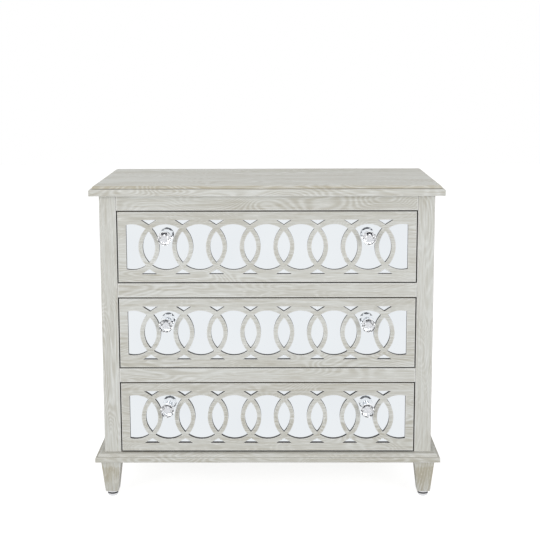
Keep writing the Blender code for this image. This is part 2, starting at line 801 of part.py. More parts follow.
def make_sides(level, side_bottom, body):
    """Both drawer sides, grooved for the bottom and housed for the back."""
    groove_bottom = side_bottom + DRAWER_BOTTOM_RAISE - FIT
    back_front, back_rear = back_board_span()
    for side, sign in LEFT_AND_RIGHT:
        name = f"drawer_side_{level}_{side}"
        across = sign * (BOX_INNER_HALF + DRAWER_SIDE_THICKNESS / 2)
        board = flat_solid(
            name, [side_outline()], DRAWER_SIDE_THICKNESS, (across, 0.0, side_bottom), FACING_RIGHT
        )
        low = (BOX_INNER_HALF - OVERRUN, SHOULDER - TAIL_LAP - OVERRUN, groove_bottom)
        high = (
            BOX_INNER_HALF + BOTTOM_GROOVE_DEPTH,
            BOX_REAR + OVERRUN,
            groove_bottom + DRAWER_BOTTOM_THICKNESS + 2 * FIT,
        )
        combine(board, block(name + "_groove", *mirrored(low, high, sign), CUTTERS), "DIFFERENCE", body)
        low = (BOX_INNER_HALF - OVERRUN, back_front - FIT, side_bottom - OVERRUN)
        high = (
            BOX_INNER_HALF + BACK_HOUSING_DEPTH,
            back_rear + FIT,
            side_bottom + DRAWER_SIDE_HEIGHT + OVERRUN,
        )
        combine(board, block(name + "_housing", *mirrored(low, high, sign), CUTTERS), "DIFFERENCE", body)
        finish(board, "plain_maple", body)


def make_bottom_and_back(level, side_bottom, body):
    """The drawer bottom in its grooves, and the back board standing on it."""
    low = side_bottom + DRAWER_BOTTOM_RAISE
    half = BOX_INNER_HALF + BOTTOM_GROOVE_DEPTH - FIT
    bottom = block(
        "drawer_bottom_" + level,
        (-half, FRONT_BOARD_BACK - BOTTOM_GROOVE_DEPTH + FIT, low),
        (half, BOX_REAR, low + DRAWER_BOTTOM_THICKNESS),
    )
    finish(bottom, "plain_maple", body)
    back_front, back_rear = back_board_span()
    half = BOX_INNER_HALF + BACK_HOUSING_DEPTH - FIT
    back = block(
        "drawer_back_" + level,
        (-half, back_front, low + DRAWER_BOTTOM_THICKNESS + FIT),
        (half, back_rear, side_bottom + DRAWER_SIDE_HEIGHT),
    )
    finish(back, "plain_maple", body)


# Knobs.

def make_crystal(name, across, height, front):
    """A clear knob cut in facets between rings of corners, each ring turned half a facet or not."""
    shape = bmesh.new()
    for radius_share, depth_share, half_turns in CRYSTAL_CUT:
        for number in range(CRYSTAL_FACETS):
            turn = math.pi * (2 * number + half_turns) / CRYSTAL_FACETS
            radius = CRYSTAL_RADIUS * radius_share
            place = (radius * math.cos(turn), radius * math.sin(turn), -CRYSTAL_DEPTH * depth_share)
            shape.verts.new(place)
    hull = bmesh.ops.convex_hull(shape, input=shape.verts)
    loose = [item for item in hull["geom_interior"] if isinstance(item, bmesh.types.BMVert)]
    bmesh.ops.delete(shape, geom=loose, context="VERTS")
    bmesh.ops.recalc_face_normals(shape, faces=shape.faces)
    crystal = from_bmesh(name, shape, PARTS)
    crystal.location = (across, front, height)
    crystal.rotation_euler = FACING_FRONT
    return crystal


def stem_profile():
    """The stem from its ferrule back to the end of its stud, with heights along the knob's axis."""
    flange = FIT + FLANGE_THICKNESS
    ferrule = flange + NECK_LENGTH
    nut = -(DRAWER_FRONT_THICKNESS + FIT)
    return [
        (0.0, ferrule + FERRULE_THICKNESS),
        (FERRULE_RADIUS, ferrule + FERRULE_THICKNESS),
        (FERRULE_RADIUS, ferrule),
        (NECK_RADIUS, ferrule),
        (NECK_RADIUS, flange),
        (FLANGE_RADIUS, flange),
        (FLANGE_RADIUS, FIT),
        (STUD_RADIUS, FIT),
        (STUD_RADIUS, nut),
        (NUT_RADIUS, nut),
        (NUT_RADIUS, nut - NUT_THICKNESS),
        (STUD_RADIUS, nut - NUT_THICKNESS),
        (STUD_RADIUS, nut - NUT_THICKNESS - STUD_TAIL),
        (0.0, nut - NUT_THICKNESS - STUD_TAIL),
    ]


def make_knobs(level, centre, body):
    """Both knobs of a drawer, each a crystal and its stem."""
    for side, across, height in knob_places(centre):
        stem_name = f"knob_stem_{level}_{side}"
        place = (across, FRONT_BOARD_FACE, height)
        finish(turned(stem_name, stem_profile(), STEM_SIDES, place, FACING_FRONT), "chrome", body)
        crystal_name = f"knob_crystal_{level}_{side}"
        finish(make_crystal(crystal_name, across, height, CASE_FRONT - KNOB_REACH), "crystal", body)


CHEST = hub("chest")
make_boards()
for foot_corner, foot_across, foot_along in foot_places():
    make_foot(foot_corner, foot_across, foot_along)
    make_glide(foot_corner, foot_across, foot_along)
for post_end in ("front", "back"):
    for post_side, post_sign in LEFT_AND_RIGHT:
        make_post(post_end, post_side, post_sign)
for rail_name, rail_bottom, rail_top in rail_spans():
    make_rail(rail_name, rail_bottom, rail_top)
make_panels()

for storey, drawer_level in enumerate(DRAWER_NAMES):
    opening = BASE_TOP + storey * STOREY
    drawer_centre = opening + OPENING_HEIGHT / 2
    drawer_side_bottom = opening + DRAWER_GAP + DRAWER_SIDE_RAISE
    make_runners(drawer_level, opening)
    slide = hub("slide_" + drawer_level, (0.0, CASE_FRONT, drawer_centre), CHEST)
    make_fret(drawer_level, drawer_centre, slide)
    make_mirror(drawer_level, drawer_centre, slide)
    make_front(drawer_level, drawer_centre, drawer_side_bottom, slide)
    make_sides(drawer_level, drawer_side_bottom, slide)
    make_bottom_and_back(drawer_level, drawer_side_bottom, slide)
    make_knobs(drawer_level, drawer_centre, slide)
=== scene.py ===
import math

import bmesh
import bpy
from mathutils import Matrix, Vector


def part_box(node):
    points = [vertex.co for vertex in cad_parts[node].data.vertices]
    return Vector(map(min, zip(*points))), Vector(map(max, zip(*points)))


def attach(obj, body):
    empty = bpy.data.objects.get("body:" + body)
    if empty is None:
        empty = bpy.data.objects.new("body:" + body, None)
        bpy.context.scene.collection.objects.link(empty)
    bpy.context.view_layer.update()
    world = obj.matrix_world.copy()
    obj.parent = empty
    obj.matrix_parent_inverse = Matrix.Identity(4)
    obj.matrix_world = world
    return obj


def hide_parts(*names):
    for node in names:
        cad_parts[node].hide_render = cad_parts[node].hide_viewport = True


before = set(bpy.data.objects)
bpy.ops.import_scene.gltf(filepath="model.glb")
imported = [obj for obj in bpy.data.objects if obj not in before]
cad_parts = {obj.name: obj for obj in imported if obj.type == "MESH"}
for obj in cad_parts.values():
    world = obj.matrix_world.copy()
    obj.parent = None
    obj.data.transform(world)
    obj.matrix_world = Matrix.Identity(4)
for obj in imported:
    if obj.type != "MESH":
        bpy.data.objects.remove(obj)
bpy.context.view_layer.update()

LEVELS = ("lower", "middle", "upper")
SIDES = ("left", "right")
CORNERS = [f"{end}_{side}" for end in ("front", "back") for side in SIDES]


# The studio: a pale floor and a white surround, lit softly and mostly from the front. The camera sees
# the floor lighter than it is lit, with a soft shadow on it, and mirrors and glass see it plain white.
# Glass also sees the surround brighter than the rest does, and it doesn't see the softboxes.

def fill(tree, node, inputs):
    """Fill or link a node's inputs. A list holds several links for one input."""
    for key, value in inputs.items():
        for item in value if isinstance(value, list) else [value]:
            if isinstance(item, bpy.types.NodeSocket):
                tree.links.new(item, node.inputs[key])
            else:
                node.inputs[key].default_value = item


def wire(tree, kind, inputs=None, **settings):
    """Add a node, give it its settings, and fill or link its inputs."""
    node = tree.nodes.new(kind)
    for key, value in settings.items():
        setattr(node, key, value)
    fill(tree, node, inputs or {})
    return node


def calc(tree, operation, *values):
    """A sum on numbers or sockets, as one socket."""
    return wire(tree, "ShaderNodeMath", dict(enumerate(values)), operation=operation).outputs[0]


def bare_tree(owner):
    """The node tree of a material or a world, emptied."""
    owner.use_nodes = True
    owner.node_tree.nodes.clear()
    return owner.node_tree


def meshed(name, shape):
    """The mesh of a finished shape."""
    mesh = bpy.data.meshes.new(name)
    shape.to_mesh(mesh)
    shape.free()
    return mesh


def placed(name, data):
    """A new object for a mesh, a light or a camera, put in the scene."""
    item = bpy.data.objects.new(name, data)
    bpy.context.scene.collection.objects.link(item)
    return item


FLOOR_HALF = 9.0
FLOOR_DROP = 0.0004
FLOOR_COLOUR = (0.62, 0.62, 0.62, 1.0)
FLOOR_LIFT = 0.80
SURROUND_LIGHT = 0.50
SURROUND_WHITE = (1.0, 1.0, 1.0, 1.0)
IN_GLASS_LIFT = 0.80

floor_shape = bmesh.new()
bmesh.ops.create_grid(floor_shape, x_segments=1, y_segments=1, size=FLOOR_HALF)
floor_mesh = meshed("studio_floor", floor_shape)
floor_mesh.transform(Matrix.Translation((0.0, 0.0, -FLOOR_DROP)))
studio_floor = placed("studio_floor", floor_mesh)

floor_paint = bpy.data.materials.new("studio_floor_paint")
floor_tree = bare_tree(floor_paint)
floor_ray = wire(floor_tree, "ShaderNodeLightPath").outputs
floor_lift = wire(floor_tree, "ShaderNodeEmission", {
    "Strength": calc(floor_tree, "MULTIPLY", floor_ray["Is Camera Ray"], FLOOR_LIFT),
})
floor_coat = wire(floor_tree, "ShaderNodeBsdfDiffuse", {"Color": FLOOR_COLOUR})
floor_sum = wire(floor_tree, "ShaderNodeAddShader", {0: floor_lift.outputs[0], 1: floor_coat.outputs[0]})
floor_mirrored = wire(floor_tree, "ShaderNodeEmission", {"Color": SURROUND_WHITE})
floor_seen = wire(floor_tree, "ShaderNodeMixShader", {
    0: calc(floor_tree, "MAXIMUM", floor_ray["Is Glossy Ray"], floor_ray["Is Transmission Ray"]),
    1: floor_sum.outputs[0],
    2: floor_mirrored.outputs[0],
})
wire(floor_tree, "ShaderNodeOutputMaterial", {"Surface": floor_seen.outputs[0]})
floor_mesh.materials.append(floor_paint)

surround = bpy.data.worlds.new("studio_surround")
bpy.context.scene.world = surround
surround_tree = bare_tree(surround)
surround_ray = wire(surround_tree, "ShaderNodeLightPath").outputs
in_glass = surround_ray["Is Transmission Ray"]
in_glass_or_mirror = calc(surround_tree, "MAXIMUM", surround_ray["Is Glossy Ray"], in_glass)
surround_light = wire(surround_tree, "ShaderNodeMapRange", {
    "Value": calc(surround_tree, "MAXIMUM", surround_ray["Is Camera Ray"], in_glass_or_mirror),
    "To Min": SURROUND_LIGHT,
    "To Max": 1.0,
}).outputs[0]
surround_glow = wire(surround_tree, "ShaderNodeBackground", {
    "Color": SURROUND_WHITE,
    "Strength": calc(surround_tree, "MULTIPLY_ADD", in_glass, IN_GLASS_LIFT, surround_light),
})
wire(surround_tree, "ShaderNodeOutputWorld", {"Surface": surround_glow.outputs[0]})

# Each softbox: its name, its place and its power in watts.
SOFTBOXES = (
    ("softbox_left", Vector((-2.4, -3.7, 1.12)), 57.0),
    ("softbox_right", Vector((2.4, -3.7, 1.12)), 54.5),
    ("softbox_over", Vector((-0.3, 0.2, 3.3)), 19.0),
)
SOFTBOX_SIZE = 2.4
SOFTBOX_AIM = Vector((0.0, 0.0, 0.60))

for box_name, box_place, box_power in SOFTBOXES:
    softbox_light = bpy.data.lights.new(box_name, "AREA")
    softbox_light.shape = "SQUARE"
    softbox_light.size = SOFTBOX_SIZE
    softbox_light.energy = box_power
    softbox = placed(box_name, softbox_light)
    softbox.location = box_place
    softbox.rotation_euler = (SOFTBOX_AIM - box_place).to_track_quat("-Z", "Y").to_euler()
    softbox.visible_transmission = False


# Black cards that only the knobs' crystal sees give it its dark lines: an arch of three behind the
# camera, one at each side before the chest, and a narrow one lying before each drawer's front, below
# its knobs.

CARD_BLACK = (0.015, 0.015, 0.025, 1.0)
ARCH_Y = -4.4
ARCH_HALF_SPAN = 2.6
ARCH_HALF_OPENING = 0.9
ARCH_BOTTOM = 0.05
ARCH_SPRING = 2.4
ARCH_TOP = 3.3
SIDE_CARD_X = 1.0
SIDE_CARD_FRONT = -1.0
SIDE_CARD_BACK = -0.4
SIDE_CARD_BOTTOM = 0.1
SIDE_CARD_TOP = 1.0
FRONT_CARD_HALF_WIDTH = 0.9
FRONT_CARD_BELOW = 0.20
FRONT_CARD_NEAR = 0.10
FRONT_CARD_FAR = {"lower": 0.25, "middle": 0.24, "upper": 0.29}


def upright_card(start, end, bottom, top):
    """The corners of an upright card over the line from start to end on the floor."""
    return (*start, bottom), (*end, bottom), (*end, top), (*start, top)


card_corners = [
    upright_card((-ARCH_HALF_SPAN, ARCH_Y), (ARCH_HALF_SPAN, ARCH_Y), ARCH_SPRING, ARCH_TOP),
    upright_card((-ARCH_HALF_SPAN, ARCH_Y), (-ARCH_HALF_OPENING, ARCH_Y), ARCH_BOTTOM, ARCH_SPRING),
    upright_card((ARCH_HALF_OPENING, ARCH_Y), (ARCH_HALF_SPAN, ARCH_Y), ARCH_BOTTOM, ARCH_SPRING),
]
for card_x in (-SIDE_CARD_X, SIDE_CARD_X):
    card_corners.append(upright_card(
        (card_x, SIDE_CARD_FRONT), (card_x, SIDE_CARD_BACK), SIDE_CARD_BOTTOM, SIDE_CARD_TOP,
    ))
for level in LEVELS:
    mirror_low, mirror_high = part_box("mirror_" + level)
    card_far = mirror_low.y - FRONT_CARD_FAR[level]
    card_near = mirror_low.y - FRONT_CARD_NEAR
    card_height = (mirror_low.z + mirror_high.z) / 2 - FRONT_CARD_BELOW
    card_corners.append((
        (-FRONT_CARD_HALF_WIDTH, card_far, card_height),
        (FRONT_CARD_HALF_WIDTH, card_far, card_height),
        (FRONT_CARD_HALF_WIDTH, card_near, card_height),
        (-FRONT_CARD_HALF_WIDTH, card_near, card_height),
    ))
card_shape = bmesh.new()
for corners in card_corners:
    card_shape.faces.new([card_shape.verts.new(corner) for corner in corners])
card_mesh = meshed("studio_cards", card_shape)
black_cards = placed("studio_cards", card_mesh)
black_cards.visible_camera = False
black_cards.visible_diffuse = False
black_cards.visible_glossy = False
black_cards.visible_shadow = False

card_paint = bpy.data.materials.new("studio_card_black")
card_tree = bare_tree(card_paint)
card_dark = wire(card_tree, "ShaderNodeEmission", {"Color": CARD_BLACK})
wire(card_tree, "ShaderNodeOutputMaterial", {"Surface": card_dark.outputs[0]})
card_mesh.materials.append(card_paint)

bpy.context.scene.view_settings.view_transform = "Standard"


# The camera: it stands about three metres in front of the chest, above its top, and looks slightly
# down. Its frame is shifted a little so that the chest keeps its place in the picture.

CAMERA_PLACE = Vector((0.0270, -3.0918, 1.1531))
CAMERA_YAW = math.radians(-0.380)
CAMERA_PITCH = math.radians(8.648)
CAMERA_ROLL = math.radians(0.15)
CAMERA_LENS = 76.78
CAMERA_SHIFT = -0.0741

forward = Vector((
    math.sin(CAMERA_YAW) * math.cos(CAMERA_PITCH),
    math.cos(CAMERA_YAW) * math.cos(CAMERA_PITCH),
    -math.sin(CAMERA_PITCH),
))
level_right = Vector((math.cos(CAMERA_YAW), -math.sin(CAMERA_YAW), 0.0))
level_down = forward.cross(level_right)
right = math.cos(CAMERA_ROLL) * level_right + math.sin(CAMERA_ROLL) * level_down
down = math.cos(CAMERA_ROLL) * level_down - math.sin(CAMERA_ROLL) * level_right
turn = Matrix((right, -down, -forward)).transposed()
camera = placed("studio_camera", bpy.data.cameras.new("studio_camera"))
camera.matrix_world = Matrix.Translation(CAMERA_PLACE) @ turn.to_4x4()
camera.data.lens = CAMERA_LENS
camera.data.shift_y = CAMERA_SHIFT
bpy.context.scene.camera = camera


# Base board: one flat board of limed oak on which the whole case stands. Its front and sides carry a
# cut moulding, a rounded face, a quirk and a quarter round, and its back is sawn off square.

def mix(tree, factor, first, second):
    """Two colours mixed by a factor."""
    node = wire(tree, "ShaderNodeMix", {0: factor, 6: first, 7: second}, data_type="RGBA")
    return node.outputs[2]


def spread(tree, value, reach=(0.0, 1.0), onto=(0.0, 1.0)):
    """A value's reach from first to second, spread onto another pair and held between them."""
    return wire(tree, "ShaderNodeMapRange", {
        "Value": value, "From Min": reach[0], "From Max": reach[1], "To Min": onto[0], "To Max": onto[1],
    }).outputs[0]


def stretched(tree, place, scales):
    """A place with a scale of its own along X, Y and Z."""
    return wire(tree, "ShaderNodeVectorMath", {0: place, 1: scales}, operation="MULTIPLY").outputs[0]


def noise(tree, place, scale=1.0, detail=3.0, rough=0.5, distortion=0.0):
    """Noise at a place, about one half."""
    return wire(tree, "ShaderNodeTexNoise", {
        "Vector": place, "Scale": scale, "Detail": detail, "Roughness": rough, "Distortion": distortion,
    }).outputs[0]


def new_finish(name):
    """A new material, its node tree and the place of the point shaded."""
    finish = bpy.data.materials.new(name)
    finish.use_nodes = True
    tree = finish.node_tree
    return finish, tree, wire(tree, "ShaderNodeTexCoord").outputs["Object"]


def coated(finish, inputs):
    """The finish, with the inputs of its own shader filled or linked."""
    tree = finish.node_tree
    fill(tree, tree.nodes["Principled BSDF"], inputs)
    return finish


GRAIN_TURNS = {
    "X": (0.0, 0.0, 0.0),
    "Y": (0.0, 0.0, math.pi / 2),
    "Z": (0.0, math.pi / 2, 0.0),
}


def grain_place(tree, spot, along, start, shares):
    """A spot's place in the grain: turned to have it along X, and moved by a share of the start."""
    return wire(tree, "ShaderNodeMapping", {
        "Vector": spot,
        "Rotation": GRAIN_TURNS[along],
        "Location": tuple(share * start for share in shares),
    }).outputs[0]


PALE_WOOD = (0.690, 0.700, 0.672, 1.0)
GREIGE_WOOD = (0.475, 0.455, 0.388, 1.0)
BEIGE_WOOD = (0.475, 0.442, 0.350, 1.0)
LIME_WAX = (0.840, 0.840, 0.815, 1.0)
GAP_PAINTED_SHADE = (0.045, 0.042, 0.038, 1.0)
OAK_SHARES = (1.0, 0.37, 0.61)

# Each layer of the oak's grain: its scales along and across the grain, detail, roughness, distortion.
OAK_LAYERS = {
    "patches": ((2.4, 9.0, 14.0), 2.0, 0.5, 0.0),
    "growth": ((3.6, 11.0, 14.0), 1.0, 0.35, 0.6),
    "crowns": ((1.8, 4.0, 7.0), 1.0, 0.5, 0.0),
    "streaks": ((10.0, 190.0, 250.0), 3.0, 0.65, 0.0),
    "pores": ((45.0, 900.0, 900.0), 2.0, 0.6, 0.0),
}
OAK_TONE = 0.58
PATCH_CONTRAST = 1.10
STREAK_CONTRAST = 1.95
RING_CONTRAST = 0.40
RINGS_IN_GROWTH = 165.0
CROWN_RANGE = (0.42, 0.58)
PORE_RANGE = (0.50, 0.64)
RING_RANGE = (0.35, 1.0)
PORE_WAX = (0.0, 0.55)
END_WAX = (0.0, 0.35)
END_FADE = 0.006
END_RAGGED = 0.010
# Widths of the painted highlight band along the edges: narrow on most pieces, wider on the rails.
OAK_ARRIS = 0.0026
RAIL_ARRIS = 0.0055
ARRIS_TURN = (0.998, 0.93)
ARRIS_PAINTED_HIGHLIGHT = (0.0, 0.85)
ARRIS_SAMPLES = 6
GAP_REACH = 0.014
GAP_RANGE = (0.40, 0.18)
GAP_SHADE_SHARE = (0.0, 0.95)
GAP_SAMPLES = 8
SOFT_EDGE = 0.0007
SOFT_EDGE_SAMPLES = 4
PORE_RELIEF = 0.4
OAK_RELIEF = {"Strength": 0.25, "Distance": 0.0004}
OAK_ROUGH = (0.50, 0.68)
OAK_SHEEN = 0.35


def limed_oak(name, start, along="X", beige=0.0, dark=GREIGE_WOOD, white_ends=None, arris=OAK_ARRIS):
    """Brushed oak rubbed with white wax, with its grain along the axis named.

    It is whiter below the first and above the second of the heights of its white ends, if it has them,
    and in a band as wide as the arris on every edge, a painted highlight. Gaps and corners get painted
    shade.
    """
    finish, tree, spot = new_finish(name)
    grain = grain_place(tree, spot, along, start, OAK_SHARES)
    patches, growth, crowns, streaks, pores = (
        noise(tree, stretched(tree, grain, scales), 1.0, *settings)
        for scales, *settings in OAK_LAYERS.values()
    )

    def centred(value):
        """A value about one half, made one about zero."""
        return calc(tree, "SUBTRACT", value, 0.5)

    ring = calc(tree, "SINE", calc(tree, "MULTIPLY", growth, RINGS_IN_GROWTH))
    ring = calc(tree, "MULTIPLY_ADD", ring, 0.5, 0.5)
    tone = calc(tree, "MULTIPLY_ADD", centred(patches), PATCH_CONTRAST, OAK_TONE - beige)
    tone = calc(tree, "MULTIPLY_ADD", centred(streaks), STREAK_CONTRAST, tone)
    crowned = calc(tree, "MULTIPLY", spread(tree, crowns, CROWN_RANGE), centred(ring))
    tone = calc(tree, "MULTIPLY_ADD", crowned, RING_CONTRAST, tone)
    if white_ends:
        lower, higher = white_ends
        height = wire(tree, "ShaderNodeSeparateXYZ", {"Vector": spot}).outputs["Z"]
        ragged = calc(tree, "MULTIPLY_ADD", streaks, END_RAGGED, height)
        tone = calc(tree, "ADD", tone, spread(tree, ragged, (higher, higher + END_FADE), END_WAX))
        tone = calc(tree, "ADD", tone, spread(tree, height, (lower, lower / 2), END_WAX))
    tone = wire(tree, "ShaderNodeClamp", {"Value": tone}).outputs[0]
    colour = mix(tree, tone, dark, PALE_WOOD)

    in_rings = spread(tree, ring, RING_RANGE, PORE_WAX)
    open_grain = calc(tree, "MULTIPLY", spread(tree, pores, PORE_RANGE), in_rings)
    colour = mix(tree, open_grain, colour, LIME_WAX)

    # Painted highlight: whiter in a band along every edge, where the bevelled normal turns from the flat
    # one.
    rounded = wire(tree, "ShaderNodeBevel", {"Radius": arris}, samples=ARRIS_SAMPLES).outputs[0]
    flat = wire(tree, "ShaderNodeNewGeometry").outputs["Normal"]
    compared = wire(tree, "ShaderNodeVectorMath", {0: rounded, 1: flat}, operation="DOT_PRODUCT")
    facing = compared.outputs["Value"]
    colour = mix(tree, spread(tree, facing, ARRIS_TURN, ARRIS_PAINTED_HIGHLIGHT), colour, LIME_WAX)

    # Painted shade: darker where ambient occlusion finds narrow gaps, inner corners and the space under
    # overhangs.
    around = wire(tree, "ShaderNodeAmbientOcclusion", {"Distance": GAP_REACH}, samples=GAP_SAMPLES)
    colour = mix(tree, spread(tree, around.outputs["AO"], GAP_RANGE, GAP_SHADE_SHARE), colour, GAP_PAINTED_SHADE)

    relief = calc(tree, "MULTIPLY_ADD", pores, PORE_RELIEF, streaks)
    soft_edge = wire(tree, "ShaderNodeBevel", {"Radius": SOFT_EDGE}, samples=SOFT_EDGE_SAMPLES).outputs[0]
    surface = wire(tree, "ShaderNodeBump", {"Height": relief, "Normal": soft_edge, **OAK_RELIEF}).outputs[0]
    return coated(finish, {
        "Base Color": colour,
        "Roughness": spread(tree, streaks, onto=OAK_ROUGH),
        "Normal": surface,
        "Specular IOR Level": OAK_SHEEN,
    })


QUIRK_SHADE_TINT = (0.200, 0.188, 0.165, 1.0)
QUIRK_STREAK_SCALES = (14.0, 300.0, 300.0)
QUIRK_STREAK_RANGE = (0.40, 0.75)
QUIRK_STREAK_SHARE = (0.0, 0.6)
QUIRK_SHADE_ROUGH = 0.7


def quirk_painted_shade(name):
    """Painted shade for a narrow groove: grey-brown, with paler beige streaks over it."""
    finish, tree, spot = new_finish(name)
    streaks = noise(tree, stretched(tree, spot, QUIRK_STREAK_SCALES))
    paler_streaks = spread(tree, streaks, QUIRK_STREAK_RANGE, QUIRK_STREAK_SHARE)
    return coated(finish, {"Base Color": mix(tree, paler_streaks, QUIRK_SHADE_TINT, BEIGE_WOOD), "Roughness": QUIRK_SHADE_ROUGH})


SHARP_ANGLE = math.radians(28.0)


def shade_soft(mesh):
    """Shade a mesh smooth, and keep its arrises sharp."""
    mesh.shade_smooth()
    mesh.set_sharp_from_angle(angle=SHARP_ANGLE)


def settle(piece, body, slot, *nodes):
    """Let a finished piece ride on its body and stand for the CAD nodes named."""
    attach(piece, body)
    if nodes:
        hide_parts(*nodes)


def new_piece(name, shape, finish, body, slot, *nodes):
    """A finished piece at the origin, riding on its body and standing for the CAD nodes named."""
    mesh = meshed(name, shape)
    piece = placed(name, mesh)
    mesh.materials.append(finish)
    shade_soft(mesh)
    settle(piece, body, slot, *nodes)
    return piece


def quarter(steps):
    """The angles of a quarter turn, in equal steps."""
    return [math.pi / 2 * step / steps for step in range(steps + 1)]


BOARD_ARRIS = 0.0007
BOARD_SHOULDER = 0.0035
BOARD_LEDGE = 0.0075
BOARD_QUIRK = 0.0015
ROUND_RUN = 0.0060
ROUND_RISE = 0.0069
FILLET_STEP = 0.0006
FLAT_INSET = 0.0141
ROUND_STEPS = 14
ARRIS_STEPS = 4
BACK_OF_BOARD = 2
IN_QUIRK_SHADE = 1
IN_ROUND_LIGHT_AND_SHADE = 2


def moulding(thickness):
    """The edge of a board from the bottom up, as pairs of inset and height."""
    face = thickness - FILLET_STEP - ROUND_RISE - BOARD_QUIRK
    edge = []
    for bend in quarter(ARRIS_STEPS):
        edge.append((BOARD_ARRIS * (1 - math.sin(bend)), BOARD_ARRIS * (1 - math.cos(bend))))
    for bend in quarter(ARRIS_STEPS):
        edge.append((BOARD_SHOULDER * (1 - math.cos(bend)), face - BOARD_SHOULDER * (1 - math.sin(bend))))
    edge.append((BOARD_LEDGE, face))
    for bend in quarter(ROUND_STEPS):
        inset = BOARD_LEDGE + ROUND_RUN * (1 - math.cos(bend))
        edge.append((inset, face + BOARD_QUIRK + ROUND_RISE * math.sin(bend)))
    edge.append((FLAT_INSET, thickness - FILLET_STEP))
    edge.append((FLAT_INSET, thickness))
    return edge


def moulded_board(node, shaded_inset):
    """A board the size of its CAD node, built up level by level with the moulding on three sides.

    Its upright step at the shaded inset takes the second finish, painted shade, and its round the third,
    painted light and shade.
    """
    low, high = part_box(node)
    shape = bmesh.new()
    below = None
    for inset, height in moulding(high.z - low.z):
        corners = (
            (low.x + inset, low.y + inset),
            (high.x - inset, low.y + inset),
            (high.x - inset, high.y),
            (low.x + inset, high.y),
        )
        level = [shape.verts.new((x, y, low.z + height)) for x, y in corners]
        if below is None:
            shape.faces.new(level[::-1])
        else:
            for number in range(len(level)):
                after = (number + 1) % len(level)
                band = shape.faces.new((below[number], below[after], level[after], level[number]))
                if number != BACK_OF_BOARD and inset == inset_below == shaded_inset:
                    band.material_index = IN_QUIRK_SHADE
                elif number != BACK_OF_BOARD and BOARD_LEDGE < inset < BOARD_LEDGE + ROUND_RUN:
                    band.material_index = IN_ROUND_LIGHT_AND_SHADE
        below = level
        inset_below = inset
    shape.faces.new(below)
    return shape


quirk_shade_finish = quirk_painted_shade("quirk_painted_shade")
base_board = new_piece(
    "base_board_moulded", moulded_board("base_board", FLAT_INSET),
    limed_oak("limed_oak_base_board", start=3.1, beige=0.22), "case", "limed_oak", "base_board",
)
# Second finish: painted shade on the small upright step of the moulding.
base_board.data.materials.append(quirk_shade_finish)
# Third finish: the round in a paler copy of the oak than the face, painted light for the way it faces the
# lamps.
base_board.data.materials.append(limed_oak("limed_oak_base_round_painted_light", start=3.1, beige=0.10))


# Feet: four short feet of solid limed oak, square and tapered on all sides. Each is held by a turned
# spigot in a blind hole of the base board, out of sight, and the white wax lies thicker at its ends.

JOINT_GAP = 0.0003
FOOT_ARRIS = 0.0016
FOOT_ARRIS_STEPS = 3
FOOT_BOTTOM_SIDE = 0.034
FOOT_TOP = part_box("base_board")[0].z - JOINT_GAP
FOOT_WHITE_ENDS = (0.060, FOOT_TOP - 0.016)


def tapered_foot(node):
    """A square tapered block with rounded arrises, from the top of its glide to the base board."""
    low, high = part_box(node)
    centre = (low + high) / 2
    shape = bmesh.new()
    rings = []
    for half, height in ((FOOT_BOTTOM_SIDE / 2, low.z), ((high.x - low.x) / 2, FOOT_TOP)):
        rings.append([
            shape.verts.new((centre.x + side * half, centre.y + end * half, height))
            for side, end in ((-1, -1), (1, -1), (1, 1), (-1, 1))
        ])
    shape.faces.new(rings[0][::-1])
    shape.faces.new(rings[1])
    for number in range(len(rings[0])):
        after = (number + 1) % len(rings[0])
        shape.faces.new((rings[0][number], rings[0][after], rings[1][after], rings[1][number]))
    edges = [edge for edge in shape.edges if abs(edge.verts[0].co.z - edge.verts[1].co.z) > FOOT_ARRIS]
    edges += [edge for edge in shape.edges if all(vert.co.z < low.z + FOOT_ARRIS for vert in edge.verts)]
    bmesh.ops.bevel(
        shape, geom=edges, offset=FOOT_ARRIS, segments=FOOT_ARRIS_STEPS, profile=0.5, affect="EDGES",
    )
    return shape


for number, corner in enumerate(CORNERS):
    foot_finish = limed_oak(
        "limed_oak_foot_" + corner, start=5.3 + 0.71 * number, along="Z", beige=0.34, dark=BEIGE_WOOD,
        white_ends=FOOT_WHITE_ENDS,
    )
    new_piece(
        "foot_tapered_" + corner, tapered_foot("foot_" + corner), foot_finish,
        "case", "limed_oak", "foot_" + corner,
    )


# Glides: a chromed steel glide under each foot, nailed in by its own pin. A narrow waist parts its plate
# from its domed base, painted near black as a painted reflection of the shade under the foot.

CHROME_TINTS = ((0.70, 0.71, 0.73, 1.0), (0.80, 0.80, 0.81, 1.0))
CHROME_MARKS = 260.0
CHROME_ROUGH = (0.04, 0.14)
# Tints of the painted dark band, a painted reflection of the shade under the foot.
DARK_BAND_TINTS = ((0.012, 0.012, 0.013, 1.0), (0.040, 0.040, 0.042, 1.0))
DARK_BAND_SPECKS = 190.0
DARK_BAND_ROUGH = 0.6


def bright_chrome(name):
    """Polished chrome with faint polishing marks."""
    finish, tree, spot = new_finish(name)
    marks = noise(tree, spot, CHROME_MARKS)
    return coated(finish, {
        "Base Color": mix(tree, marks, *CHROME_TINTS),
        "Roughness": spread(tree, marks, onto=CHROME_ROUGH),
        "Metallic": 1.0,
    })


def painted_dark_band(name):
    """Near black with faint specks: a painted reflection of the shade under the foot."""
    finish, tree, spot = new_finish(name)
    specks = noise(tree, spot, DARK_BAND_SPECKS)
    return coated(finish, {"Base Color": mix(tree, specks, *DARK_BAND_TINTS), "Roughness": DARK_BAND_ROUGH})


TURNED_SIDES = 48


